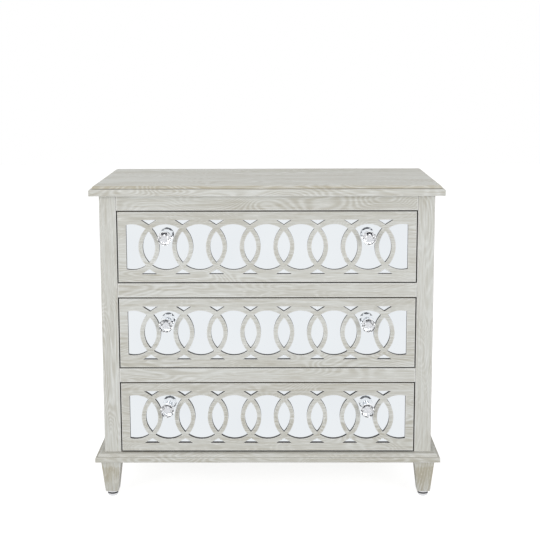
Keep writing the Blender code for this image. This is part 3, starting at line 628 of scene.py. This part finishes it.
def turned(profile, place, facing_front=False, second=()):
    """A turned shape from pairs of radius and height, top first, standing up or facing the front.

    The bands whose numbers are in second take the second finish.
    """
    shape = bmesh.new()
    rings = []
    for radius, height in profile:
        if radius == 0.0:
            rings.append([shape.verts.new((0.0, 0.0, height))])
            continue
        turns = (2 * math.pi * number / TURNED_SIDES for number in range(TURNED_SIDES))
        rings.append([shape.verts.new((radius * math.cos(a), radius * math.sin(a), height)) for a in turns])
    for band, (upper, lower) in enumerate(zip(rings, rings[1:])):
        for number in range(TURNED_SIDES):
            after = (number + 1) % TURNED_SIDES
            corners = [upper[number % len(upper)], lower[number % len(lower)]]
            if len(lower) > 1:
                corners.append(lower[after])
            if len(upper) > 1:
                corners.append(upper[after])
            face = shape.faces.new(corners)
            if band in second:
                face.material_index = 1
    if facing_front:
        bmesh.ops.rotate(shape, verts=shape.verts, matrix=Matrix.Rotation(math.pi / 2, 3, "X"))
    bmesh.ops.translate(shape, verts=shape.verts, vec=place)
    bmesh.ops.recalc_face_normals(shape, faces=shape.faces)
    return shape


GLIDE_HEIGHT = 0.015
GLIDE_RADIUS = 0.015
GLIDE_FLAT = 0.010
PLATE_BOTTOM = 0.0115
RIM_ARRIS = 0.0004
GLIDE_WAIST_RADIUS = 0.0135
GLIDE_WAIST_BOTTOM = 0.0072
DOME_RADIUS = 0.0140
DOME_STEPS = 12
PIN_RADIUS = 0.002
PIN_LENGTH = 0.015

chrome = bright_chrome("bright_chrome")
painted_band_finish = painted_dark_band("painted_dark_band")
glide_profile = [
    (0.0, GLIDE_HEIGHT + PIN_LENGTH),
    (PIN_RADIUS, GLIDE_HEIGHT + PIN_LENGTH - PIN_RADIUS),
    (PIN_RADIUS, GLIDE_HEIGHT),
    (GLIDE_RADIUS - RIM_ARRIS, GLIDE_HEIGHT),
    (GLIDE_RADIUS, GLIDE_HEIGHT - RIM_ARRIS),
    (GLIDE_RADIUS, PLATE_BOTTOM + RIM_ARRIS),
    (GLIDE_RADIUS - RIM_ARRIS, PLATE_BOTTOM),
    (GLIDE_WAIST_RADIUS, PLATE_BOTTOM),
]
dark_band_number = len(glide_profile) - 1
glide_profile.append((GLIDE_WAIST_RADIUS, GLIDE_WAIST_BOTTOM))
for bend in quarter(DOME_STEPS):
    reach = GLIDE_FLAT + (DOME_RADIUS - GLIDE_FLAT) * math.cos(bend)
    glide_profile.append((reach, GLIDE_WAIST_BOTTOM * (1 - math.sin(bend))))
glide_profile.append((0.0, 0.0))
for corner in CORNERS:
    glide_low, glide_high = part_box("glide_" + corner)
    centre = (glide_low + glide_high) / 2
    glide_shape = turned(glide_profile, (centre.x, centre.y, 0.0), second=(dark_band_number,))
    glide = new_piece(
        "glide_domed_" + corner, glide_shape, chrome, "case", "chromed_metal", "glide_" + corner,
    )
    # The waist takes the second finish, the painted dark band.
    glide.data.materials.append(painted_band_finish)


# Case frame: four posts, three rails tenoned into the front ones, and a panel housed in the posts at
# each side, all in limed oak. The CAD pieces have the right shape and take the finish.

def refinish(node, finish):
    """Give a CAD node a better finish, and leave its shape."""
    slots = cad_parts[node].data.materials
    slots.clear()
    slots.append(finish)


for number, corner in enumerate(CORNERS):
    refinish("post_" + corner, limed_oak("limed_oak_post_" + corner, start=11.0 + 1.37 * number, along="Z"))
for number, rail in enumerate(("top_rail", "divider_rail_upper", "divider_rail_lower")):
    refinish(rail, limed_oak("limed_oak_" + rail, start=17.0 + 2.13 * number, arris=RAIL_ARRIS))
for number, side in enumerate(SIDES):
    panel = "side_panel_" + side
    refinish(panel, limed_oak("limed_oak_" + panel, start=23.0 + 1.9 * number, along="Z"))


# Top board: the same moulded board as the base, a little thicker, laid on the posts and the top rail.
# Its round is painted browner than the rest, a painted shade for the way it faces the light.

top_board = new_piece(
    "top_board_moulded", moulded_board("top_board", BOARD_LEDGE),
    limed_oak("limed_oak_top_board", start=29.4), "case", "limed_oak", "top_board",
)
# Second finish: painted shade on the small upright step of the moulding.
top_board.data.materials.append(quirk_shade_finish)
# Third finish: the round in a browner copy of the oak, painted shade for the way it faces the lamps.
top_board.data.materials.append(limed_oak("limed_oak_top_round_painted_shade", start=29.4, beige=0.35, dark=BEIGE_WOOD))


# Back panel and runners: plain maple, never meant to be seen. The panel lies in rebates of the back
# posts, and the drawers slide on the runners.

MAPLE_TINTS = ((0.540, 0.430, 0.290, 1.0), (0.730, 0.635, 0.490, 1.0))
MAPLE_SHARES = (1.0, 0.43, 0.57)
MAPLE_BROAD = (1.2, 9.0, 9.0)
MAPLE_FINE = (5.0, 170.0, 170.0)
MAPLE_DISTORTION = 0.2
MAPLE_RINGS = 70.0
MAPLE_CONTRAST = 0.12
MAPLE_RELIEF = {"Strength": 0.15, "Distance": 0.0003}
MAPLE_ROUGH = 0.55


def plain_maple(name, start, along="X"):
    """Pale hardwood under clear matt lacquer, with a fine, quiet grain along the axis named."""
    finish, tree, spot = new_finish(name)
    grain = grain_place(tree, spot, along, start, MAPLE_SHARES)
    growth = noise(tree, stretched(tree, grain, MAPLE_BROAD), detail=2.0, distortion=MAPLE_DISTORTION)
    fibres = noise(tree, stretched(tree, grain, MAPLE_FINE), distortion=MAPLE_DISTORTION)
    rings = calc(tree, "SINE", calc(tree, "MULTIPLY", growth, MAPLE_RINGS))
    tone = calc(tree, "MULTIPLY_ADD", rings, MAPLE_CONTRAST, fibres)
    surface = wire(tree, "ShaderNodeBump", {"Height": fibres, **MAPLE_RELIEF}).outputs[0]
    return coated(finish, {
        "Base Color": mix(tree, tone, *MAPLE_TINTS), "Roughness": MAPLE_ROUGH, "Normal": surface,
    })


refinish("back_panel", plain_maple("plain_maple_back_panel", start=2.0, along="Z"))
runner_maple = plain_maple("plain_maple_runner", start=4.0, along="Y")
for level in LEVELS:
    for side in SIDES:
        refinish(f"runner_{level}_{side}", runner_maple)


# Drawer boxes: plain maple, with half-blind dovetails at the front, a bottom in grooves and a back in
# housings. The sides and the rest keep their CAD shape.

for number, level in enumerate(LEVELS):
    for board, first_start in (("front", 6.0), ("back", 9.5), ("bottom", 13.0)):
        board_maple = plain_maple(f"plain_maple_{board}_{level}", start=first_start + number)
        refinish(f"drawer_{board}_{level}", board_maple)
    for side in SIDES:
        name = f"{level}_{side}"
        side_maple = plain_maple("plain_maple_side_" + name, start=16.0 + number, along="Y")
        refinish("drawer_side_" + name, side_maple)


# Mirrors: one sheet of silvered glass behind each fret, laid in a pocket of the drawer front. The
# glass is clear and faintly blue.

MIRROR_TINTS = ((0.790, 0.825, 0.860, 1.0), (0.860, 0.890, 0.910, 1.0))
MIRROR_FILM = 5.0
MIRROR_ROUGH = (0.01, 0.03)


def silvered_glass(name):
    """A clear mirror, faintly blue and faintly uneven."""
    finish, tree, spot = new_finish(name)
    film = noise(tree, spot, MIRROR_FILM, detail=2.0)
    return coated(finish, {
        "Base Color": mix(tree, film, *MIRROR_TINTS),
        "Roughness": spread(tree, film, onto=MIRROR_ROUGH),
        "Metallic": 1.0,
    })


mirror_finish = silvered_glass("silvered_glass")
for level in LEVELS:
    refinish("mirror_" + level, mirror_finish)


# Frets: a flat panel of limed oak over each mirror, cut through in one pattern. Nine equal rings
# overlap in a row between two rails, small triangles lighten the corners, and the cuts' walls are near
# black.

def socket_vector(tree, x=0.0, y=0.0, z=0.0):
    """Three numbers or sockets as one vector socket."""
    return wire(tree, "ShaderNodeCombineXYZ", {"X": x, "Y": y, "Z": z}).outputs[0]


def solids(tree, operation, others, first=None):
    """One solid from several: joined, common to all, or cut from the first."""
    inputs = {"Mesh 2": others}
    if first is not None:
        inputs["Mesh 1"] = first
    node = wire(tree, "GeometryNodeMeshBoolean", inputs, operation=operation, solver="MANIFOLD")
    return node.outputs["Mesh"]


def prism(tree, corners, radius, depth):
    """An upright prism round the origin."""
    inputs = {"Vertices": corners, "Radius": radius, "Depth": depth}
    return wire(tree, "GeometryNodeMeshCylinder", inputs).outputs[0]


def points_in_row(tree, count, first, step):
    """A row of points along X, from the first by equal steps."""
    return wire(tree, "GeometryNodeMeshLine", {
        "Count": count,
        "Start Location": socket_vector(tree, first),
        "Offset": socket_vector(tree, step),
    }).outputs[0]


def at_points(tree, points, shape):
    """A shape repeated at every point."""
    return wire(tree, "GeometryNodeInstanceOnPoints", {"Points": points, "Instance": shape}).outputs[0]


def moved(tree, shape, **change):
    """A shape after a change of its Translation, Rotation or Scale."""
    return wire(tree, "GeometryNodeTransform", {"Geometry": shape, **change}).outputs[0]


def in_finish(tree, shape, finish, where=True):
    """A shape whose faces take a finish, all of them or those selected."""
    inputs = {"Geometry": shape, "Selection": where, "Material": finish}
    return wire(tree, "GeometryNodeSetMaterial", inputs).outputs[0]


def new_shape_tree(name, inputs, output):
    """A node tree for a shape, what its inputs are called inside, and their sockets."""
    tree = bpy.data.node_groups.new(name, "GeometryNodeTree")
    names = {}
    for label, kind in inputs.items():
        names[label] = tree.interface.new_socket(label, in_out="INPUT", socket_type=kind).identifier
    tree.interface.new_socket(output, in_out="OUTPUT", socket_type="NodeSocketGeometry")
    return tree, names, tree.nodes.new("NodeGroupInput").outputs


STAND_UP = (math.pi / 2, 0.0, 0.0)
CIRCLE_SIDES = 120
# The height of a triangle whose corners are one metre from its middle.
TRIANGLE_CORNERS = 3
TRIANGLE_HEIGHT = 1.0 + math.cos(math.pi / TRIANGLE_CORNERS)
# The cutters go right through: their depths in thicknesses of the fret.
DISC_CUTTER_DEPTH = 4.0
RING_CUTTER_DEPTH = 5.0
# How far towards the front a normal points: at least on the front face, and at most on a wall.
ON_FRONT = 0.9
ON_WALL = 0.5
# Walls nearer than this to the outline of the panel are its own edges, not cuts.
FRET_MARGIN = 0.002
FRET_INPUTS = {
    "Half Width": "NodeSocketFloat",
    "Half Height": "NodeSocketFloat",
    "Thickness": "NodeSocketFloat",
    "Arris": "NodeSocketFloat",
    "Ring Radius": "NodeSocketFloat",
    "Ring Band": "NodeSocketFloat",
    "Ring Pitch": "NodeSocketFloat",
    "Rings Each Side": "NodeSocketInt",
    "End Opening": "NodeSocketFloat",
    "Triangle Half Width": "NodeSocketFloat",
    "Triangle Web": "NodeSocketFloat",
    "Place": "NodeSocketVector",
    "Oak": "NodeSocketMaterial",
    "Cut Edge": "NodeSocketMaterial",
}


def fret_tree():
    """The fret as a node tree: drawn flat with its face towards +Z, then stood up to face the front.

    Its openings are the discs inside the rings, less the bands of all the rings, and the triangles.
    Its front face is then raised by the arris and drawn in by as much, and its cuts' walls take the
    near-black finish.
    """
    tree, names, size = new_shape_tree("ring_fret", FRET_INPUTS, "Fret")
    outer = size["Ring Radius"]
    band = size["Ring Band"]
    pitch = size["Ring Pitch"]
    each = size["Rings Each Side"]
    deep = calc(tree, "MULTIPLY", size["Thickness"], DISC_CUTTER_DEPTH)
    deeper = calc(tree, "MULTIPLY", size["Thickness"], RING_CUTTER_DEPTH)

    span = calc(tree, "MULTIPLY", each, pitch)
    first = calc(tree, "MULTIPLY", span, -1.0)
    row = points_in_row(tree, calc(tree, "MULTIPLY_ADD", each, 2.0, 1.0), first, pitch)
    disc = prism(tree, CIRCLE_SIDES, calc(tree, "SUBTRACT", outer, band), deep)
    middle = wire(tree, "GeometryNodeCurvePrimitiveCircle", {
        "Resolution": CIRCLE_SIDES, "Radius": calc(tree, "MULTIPLY_ADD", band, -0.5, outer),
    }).outputs[0]
    section = wire(tree, "GeometryNodeCurvePrimitiveQuadrilateral", {
        "Width": band, "Height": deeper,
    }).outputs[0]
    ring = wire(tree, "GeometryNodeCurveToMesh", {"Curve": middle, "Profile Curve": section}).outputs[0]
    reach = calc(tree, "MULTIPLY", calc(tree, "ADD", span, size["End Opening"]), 2.0)
    window = wire(tree, "GeometryNodeMeshCube", {
        "Size": socket_vector(tree, reach, calc(tree, "MULTIPLY", outer, 2.0), deeper),
    }).outputs[0]
    seen_discs = solids(tree, "INTERSECT", [solids(tree, "UNION", at_points(tree, row, disc)), window])
    openings = solids(tree, "DIFFERENCE", solids(tree, "UNION", at_points(tree, row, ring)), seen_discs)

    half_pitch = calc(tree, "MULTIPLY", pitch, 0.5)
    crossing = calc(tree, "SQRT", calc(
        tree, "SUBTRACT", calc(tree, "POWER", outer, 2.0), calc(tree, "POWER", half_pitch, 2.0)
    ))
    apex = calc(tree, "ADD", crossing, size["Triangle Web"])
    across = calc(tree, "DIVIDE", size["Triangle Half Width"], math.sin(math.pi / TRIANGLE_CORNERS))
    up = calc(tree, "DIVIDE", calc(tree, "SUBTRACT", outer, apex), TRIANGLE_HEIGHT)
    wedge = moved(tree, prism(tree, TRIANGLE_CORNERS, 1.0, deep), Rotation=(0.0, 0.0, -math.pi / 2))
    over = moved(
        tree, wedge,
        Scale=socket_vector(tree, across, up, 1.0),
        Translation=socket_vector(tree, 0.0, calc(tree, "ADD", apex, up)),
    )
    under = moved(tree, over, Rotation=(0.0, 0.0, math.pi))
    pair = wire(tree, "GeometryNodeJoinGeometry", {"Geometry": [over, under]}).outputs[0]
    first_between = calc(tree, "ADD", first, half_pitch)
    between = points_in_row(tree, calc(tree, "MULTIPLY", each, 2.0), first_between, pitch)

    width = calc(tree, "MULTIPLY", size["Half Width"], 2.0)
    height = calc(tree, "MULTIPLY", size["Half Height"], 2.0)
    below_arris = calc(tree, "SUBTRACT", size["Thickness"], size["Arris"])
    board = wire(tree, "GeometryNodeMeshCube", {
        "Size": socket_vector(tree, width, height, below_arris),
    }).outputs[0]
    cut = solids(tree, "DIFFERENCE", [openings, at_points(tree, between, pair)], board)

    normal = wire(tree, "GeometryNodeInputNormal").outputs[0]
    split_normal = wire(tree, "ShaderNodeSeparateXYZ", {"Vector": normal}).outputs
    kept = tree.nodes.new("GeometryNodeCaptureAttribute")
    kept.capture_items.new("VECTOR", "Outward")
    fill(tree, kept, {
        "Geometry": cut, "Outward": socket_vector(tree, split_normal["X"], split_normal["Y"]),
    })
    raised = wire(tree, "GeometryNodeExtrudeMesh", {
        "Mesh": kept.outputs["Geometry"],
        "Selection": calc(tree, "GREATER_THAN", split_normal["Z"], ON_FRONT),
        "Offset": socket_vector(tree, 0.0, 0.0, size["Arris"]),
        "Individual": False,
    }).outputs
    outward = wire(
        tree, "ShaderNodeVectorMath", {0: kept.outputs["Outward"]}, operation="NORMALIZE",
    ).outputs[0]
    inward = wire(tree, "ShaderNodeVectorMath", {
        0: outward, "Scale": calc(tree, "MULTIPLY", size["Arris"], -1.0),
    }, operation="SCALE").outputs[0]
    eased = wire(tree, "GeometryNodeSetPosition", {
        "Geometry": raised["Mesh"], "Selection": raised["Top"], "Offset": inward,
    }).outputs[0]
    lift = calc(tree, "MULTIPLY", below_arris, 0.5)
    back_at_zero = moved(tree, eased, Translation=socket_vector(tree, 0.0, 0.0, lift))

    position = wire(tree, "GeometryNodeInputPosition").outputs[0]
    spot = wire(tree, "ShaderNodeSeparateXYZ", {"Vector": position}).outputs
    is_cut = calc(tree, "LESS_THAN", calc(tree, "ABSOLUTE", split_normal["Z"]), ON_WALL)
    for axis, half in (("X", "Half Width"), ("Y", "Half Height")):
        edge = calc(tree, "SUBTRACT", size[half], FRET_MARGIN)
        inside = calc(tree, "LESS_THAN", calc(tree, "ABSOLUTE", spot[axis]), edge)
        is_cut = calc(tree, "MULTIPLY", is_cut, inside)
    finished = in_finish(tree, back_at_zero, size["Oak"])
    finished = in_finish(tree, finished, size["Cut Edge"], is_cut)
    upright = moved(tree, finished, Rotation=STAND_UP, Translation=size["Place"])
    whole = wire(tree, "GeometryNodeRealizeInstances", {"Geometry": upright}).outputs[0]
    wire(tree, "NodeGroupOutput", {"Fret": whole})
    return tree, names


def grown(name, tree, names, sizes):
    """The plain mesh that a node tree makes from these sizes, as an object."""
    seed = placed(name, bpy.data.meshes.new(name + "_seed"))
    maker = seed.modifiers.new("maker", "NODES")
    maker.node_group = tree
    for label, value in sizes.items():
        maker[names[label]] = value
    bpy.context.view_layer.update()
    made = seed.evaluated_get(bpy.context.evaluated_depsgraph_get())
    mesh = bpy.data.meshes.new_from_object(made)
    seed.modifiers.clear()
    seed.data = mesh
    return seed


CUT_TINTS = ((0.035, 0.032, 0.030, 1.0), (0.085, 0.078, 0.070, 1.0))
CUT_MARKS = 420.0
CUT_ROUGH = 0.7


def dark_cut(name):
    """The wall of a cut, near black with faint marks."""
    finish, tree, spot = new_finish(name)
    marks = noise(tree, spot, CUT_MARKS)
    return coated(finish, {"Base Color": mix(tree, marks, *CUT_TINTS), "Roughness": CUT_ROUGH})


RING_BAND = 0.0109
RAIL_OF_FRET = 0.0211
STILE_OF_FRET = 0.0214
END_OPENING = 0.0148
RINGS_EACH_SIDE = 4
TRIANGLE_HALF_WIDTH = 0.0197
TRIANGLE_WEB = 0.0022
FRET_ARRIS = 0.0004

ring_fret, fret_names = fret_tree()
cut_edge = dark_cut("dark_cut")
for number, level in enumerate(LEVELS):
    fret_low, fret_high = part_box("fret_panel_" + level)
    half_width = (fret_high.x - fret_low.x) / 2
    half_height = (fret_high.z - fret_low.z) / 2
    fret = grown("fret_rings_" + level, ring_fret, fret_names, {
        "Half Width": half_width,
        "Half Height": half_height,
        "Thickness": fret_high.y - fret_low.y,
        "Arris": FRET_ARRIS,
        "Ring Radius": half_height - RAIL_OF_FRET,
        "Ring Band": RING_BAND,
        "Ring Pitch": (half_width - STILE_OF_FRET - END_OPENING) / RINGS_EACH_SIDE,
        "Rings Each Side": RINGS_EACH_SIDE,
        "End Opening": END_OPENING,
        "Triangle Half Width": TRIANGLE_HALF_WIDTH,
        "Triangle Web": TRIANGLE_WEB,
        "Place": (0.0, fret_high.y, (fret_low.z + fret_high.z) / 2),
        "Oak": limed_oak("limed_oak_fret_" + level, start=31.0 + 1.83 * number),
        "Cut Edge": cut_edge,
    })
    shade_soft(fret.data)
    settle(fret, "drawer_" + level, "limed_oak", "fret_panel_" + level)


# Knobs: a clear crystal cut in facets round a flat table, set in a small chromed cup. The cup's stem
# passes through an opening of the fret to a flange on the mirror, and its stud to a nut at the back.

CRYSTAL_TINTS = ((0.975, 0.980, 0.995, 1.0), (0.990, 0.995, 1.000, 1.0))
CRYSTAL_CLOUD = 60.0
CRYSTAL_IOR = 1.56
CRYSTAL_FACETS = 12


def cut_crystal(name):
    """Clear lead crystal."""
    finish, tree, spot = new_finish(name)
    cloud = noise(tree, spot, CRYSTAL_CLOUD, detail=1.0)
    return coated(finish, {
        "Base Color": mix(tree, cloud, *CRYSTAL_TINTS),
        "Roughness": 0.0,
        "IOR": CRYSTAL_IOR,
        "Transmission Weight": 1.0,
    })


# Each ring of corners: share of the radius, share of the depth from the front, turn in half facets.
CRYSTAL_CUT = (
    (0.70, 0.00, 0),
    (0.97, 0.30, 0),
    (1.00, 0.42, 0),
    (1.00, 0.50, 0),
    (0.80, 0.78, 1),
    (0.46, 1.00, 1),
)
CRYSTAL_INPUTS = {
    "Radius": "NodeSocketFloat",
    "Depth": "NodeSocketFloat",
    "Facets": "NodeSocketInt",
    "Place": "NodeSocketVector",
    "Crystal": "NodeSocketMaterial",
}


def crystal_tree():
    """The crystal as a node tree: rings of corners, wrapped in flat facets and turned to the front."""
    tree, names, size = new_shape_tree("cut_crystal", CRYSTAL_INPUTS, "Crystal")
    rings = []
    for radius_share, depth_share, half_turns in CRYSTAL_CUT:
        ring = wire(tree, "GeometryNodeMeshCircle", {
            "Vertices": size["Facets"], "Radius": calc(tree, "MULTIPLY", size["Radius"], radius_share),
        }).outputs[0]
        twist = calc(tree, "DIVIDE", math.pi * half_turns, size["Facets"])
        depth = calc(tree, "MULTIPLY", size["Depth"], -depth_share)
        rings.append(moved(
            tree, ring,
            Rotation=socket_vector(tree, 0.0, 0.0, twist),
            Translation=socket_vector(tree, 0.0, 0.0, depth),
        ))
    corners = wire(tree, "GeometryNodeJoinGeometry", {"Geometry": rings}).outputs[0]
    facets = wire(tree, "GeometryNodeConvexHull", {"Geometry": corners}).outputs[0]
    facing = moved(tree, facets, Rotation=STAND_UP, Translation=size["Place"])
    whole = wire(tree, "GeometryNodeRealizeInstances", {"Geometry": facing}).outputs[0]
    wire(tree, "NodeGroupOutput", {"Crystal": in_finish(tree, whole, size["Crystal"])})
    return tree, names


CUP_RADIUS = 0.0085
CUP_DEPTH = 0.003
NECK_RADIUS = 0.0037
NECK_FILLET = 0.0012
FILLET_STEPS = 6
FLANGE_RADIUS = 0.009
FLANGE_DEPTH = 0.0025
STUD_RADIUS = 0.002
STUD_ARRIS = 0.0006
NUT_SIDES = 6
NUT_DEPTH = 0.003
NUT_REACH = 0.0048
NUT_ARRIS = 0.0003
NUT_ARRIS_STEPS = 2


def stem_profile(cup_front, stud_end):
    """A stem from its cup to the end of its stud, as pairs of radius and height over the mirror."""
    cup_back = cup_front - CUP_DEPTH
    flange_front = JOINT_GAP + FLANGE_DEPTH
    profile = [(0.0, cup_front), (CUP_RADIUS - RIM_ARRIS, cup_front), (CUP_RADIUS, cup_front - RIM_ARRIS)]
    for bend in quarter(FILLET_STEPS):
        profile.append((
            CUP_RADIUS - (CUP_RADIUS - NECK_RADIUS) * math.sin(bend),
            cup_back + NECK_FILLET * math.cos(bend) - NECK_FILLET,
        ))
    for bend in quarter(FILLET_STEPS):
        profile.append((
            NECK_RADIUS + (FLANGE_RADIUS - NECK_RADIUS) * (1 - math.cos(bend)),
            flange_front + NECK_FILLET * (1 - math.sin(bend)),
        ))
    profile += [
        (FLANGE_RADIUS, JOINT_GAP),
        (STUD_RADIUS, JOINT_GAP),
        (STUD_RADIUS, stud_end + STUD_ARRIS),
        (STUD_RADIUS - STUD_ARRIS, stud_end),
        (0.0, stud_end),
    ]
    return profile


def hexagonal_nut(place):
    """A nut that faces the front, with its middle at a place."""
    shape = bmesh.new()
    bmesh.ops.create_cone(
        shape, cap_ends=True, segments=NUT_SIDES, radius1=NUT_REACH, radius2=NUT_REACH, depth=NUT_DEPTH,
    )
    bmesh.ops.rotate(shape, verts=shape.verts, matrix=Matrix.Rotation(math.pi / 2, 3, "X"))
    bmesh.ops.translate(shape, verts=shape.verts, vec=place)
    bmesh.ops.bevel(
        shape, geom=shape.edges, offset=NUT_ARRIS, segments=NUT_ARRIS_STEPS, profile=0.5, affect="EDGES",
    )
    return shape


crystal_rings, crystal_names = crystal_tree()
crystal_finish = cut_crystal("clear_crystal")
for level in LEVELS:
    drawer = "drawer_" + level
    mirror_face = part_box("mirror_" + level)[0].y
    front_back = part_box("drawer_front_" + level)[1].y
    for side in SIDES:
        knob = f"{level}_{side}"
        crystal_low, crystal_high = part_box("knob_crystal_" + knob)
        centre = (crystal_low + crystal_high) / 2
        crystal = grown("knob_cut_crystal_" + knob, crystal_rings, crystal_names, {
            "Radius": (crystal_high.x - crystal_low.x) / 2,
            "Depth": crystal_high.y - crystal_low.y,
            "Facets": CRYSTAL_FACETS,
            "Place": (centre.x, crystal_low.y, centre.z),
            "Crystal": crystal_finish,
        })
        settle(crystal, drawer, "cut_crystal", "knob_crystal_" + knob)

        stem_low, stem_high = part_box("knob_stem_" + knob)
        profile = stem_profile(mirror_face - stem_low.y, mirror_face - stem_high.y)
        stem_shape = turned(profile, (centre.x, mirror_face, centre.z), facing_front=True)
        new_piece(
            "knob_turned_stem_" + knob, stem_shape, chrome, drawer, "chromed_metal", "knob_stem_" + knob,
        )
        nut_shape = hexagonal_nut((centre.x, front_back + JOINT_GAP + NUT_DEPTH / 2, centre.z))
        new_piece("knob_nut_" + knob, nut_shape, chrome, drawer, "chromed_metal")
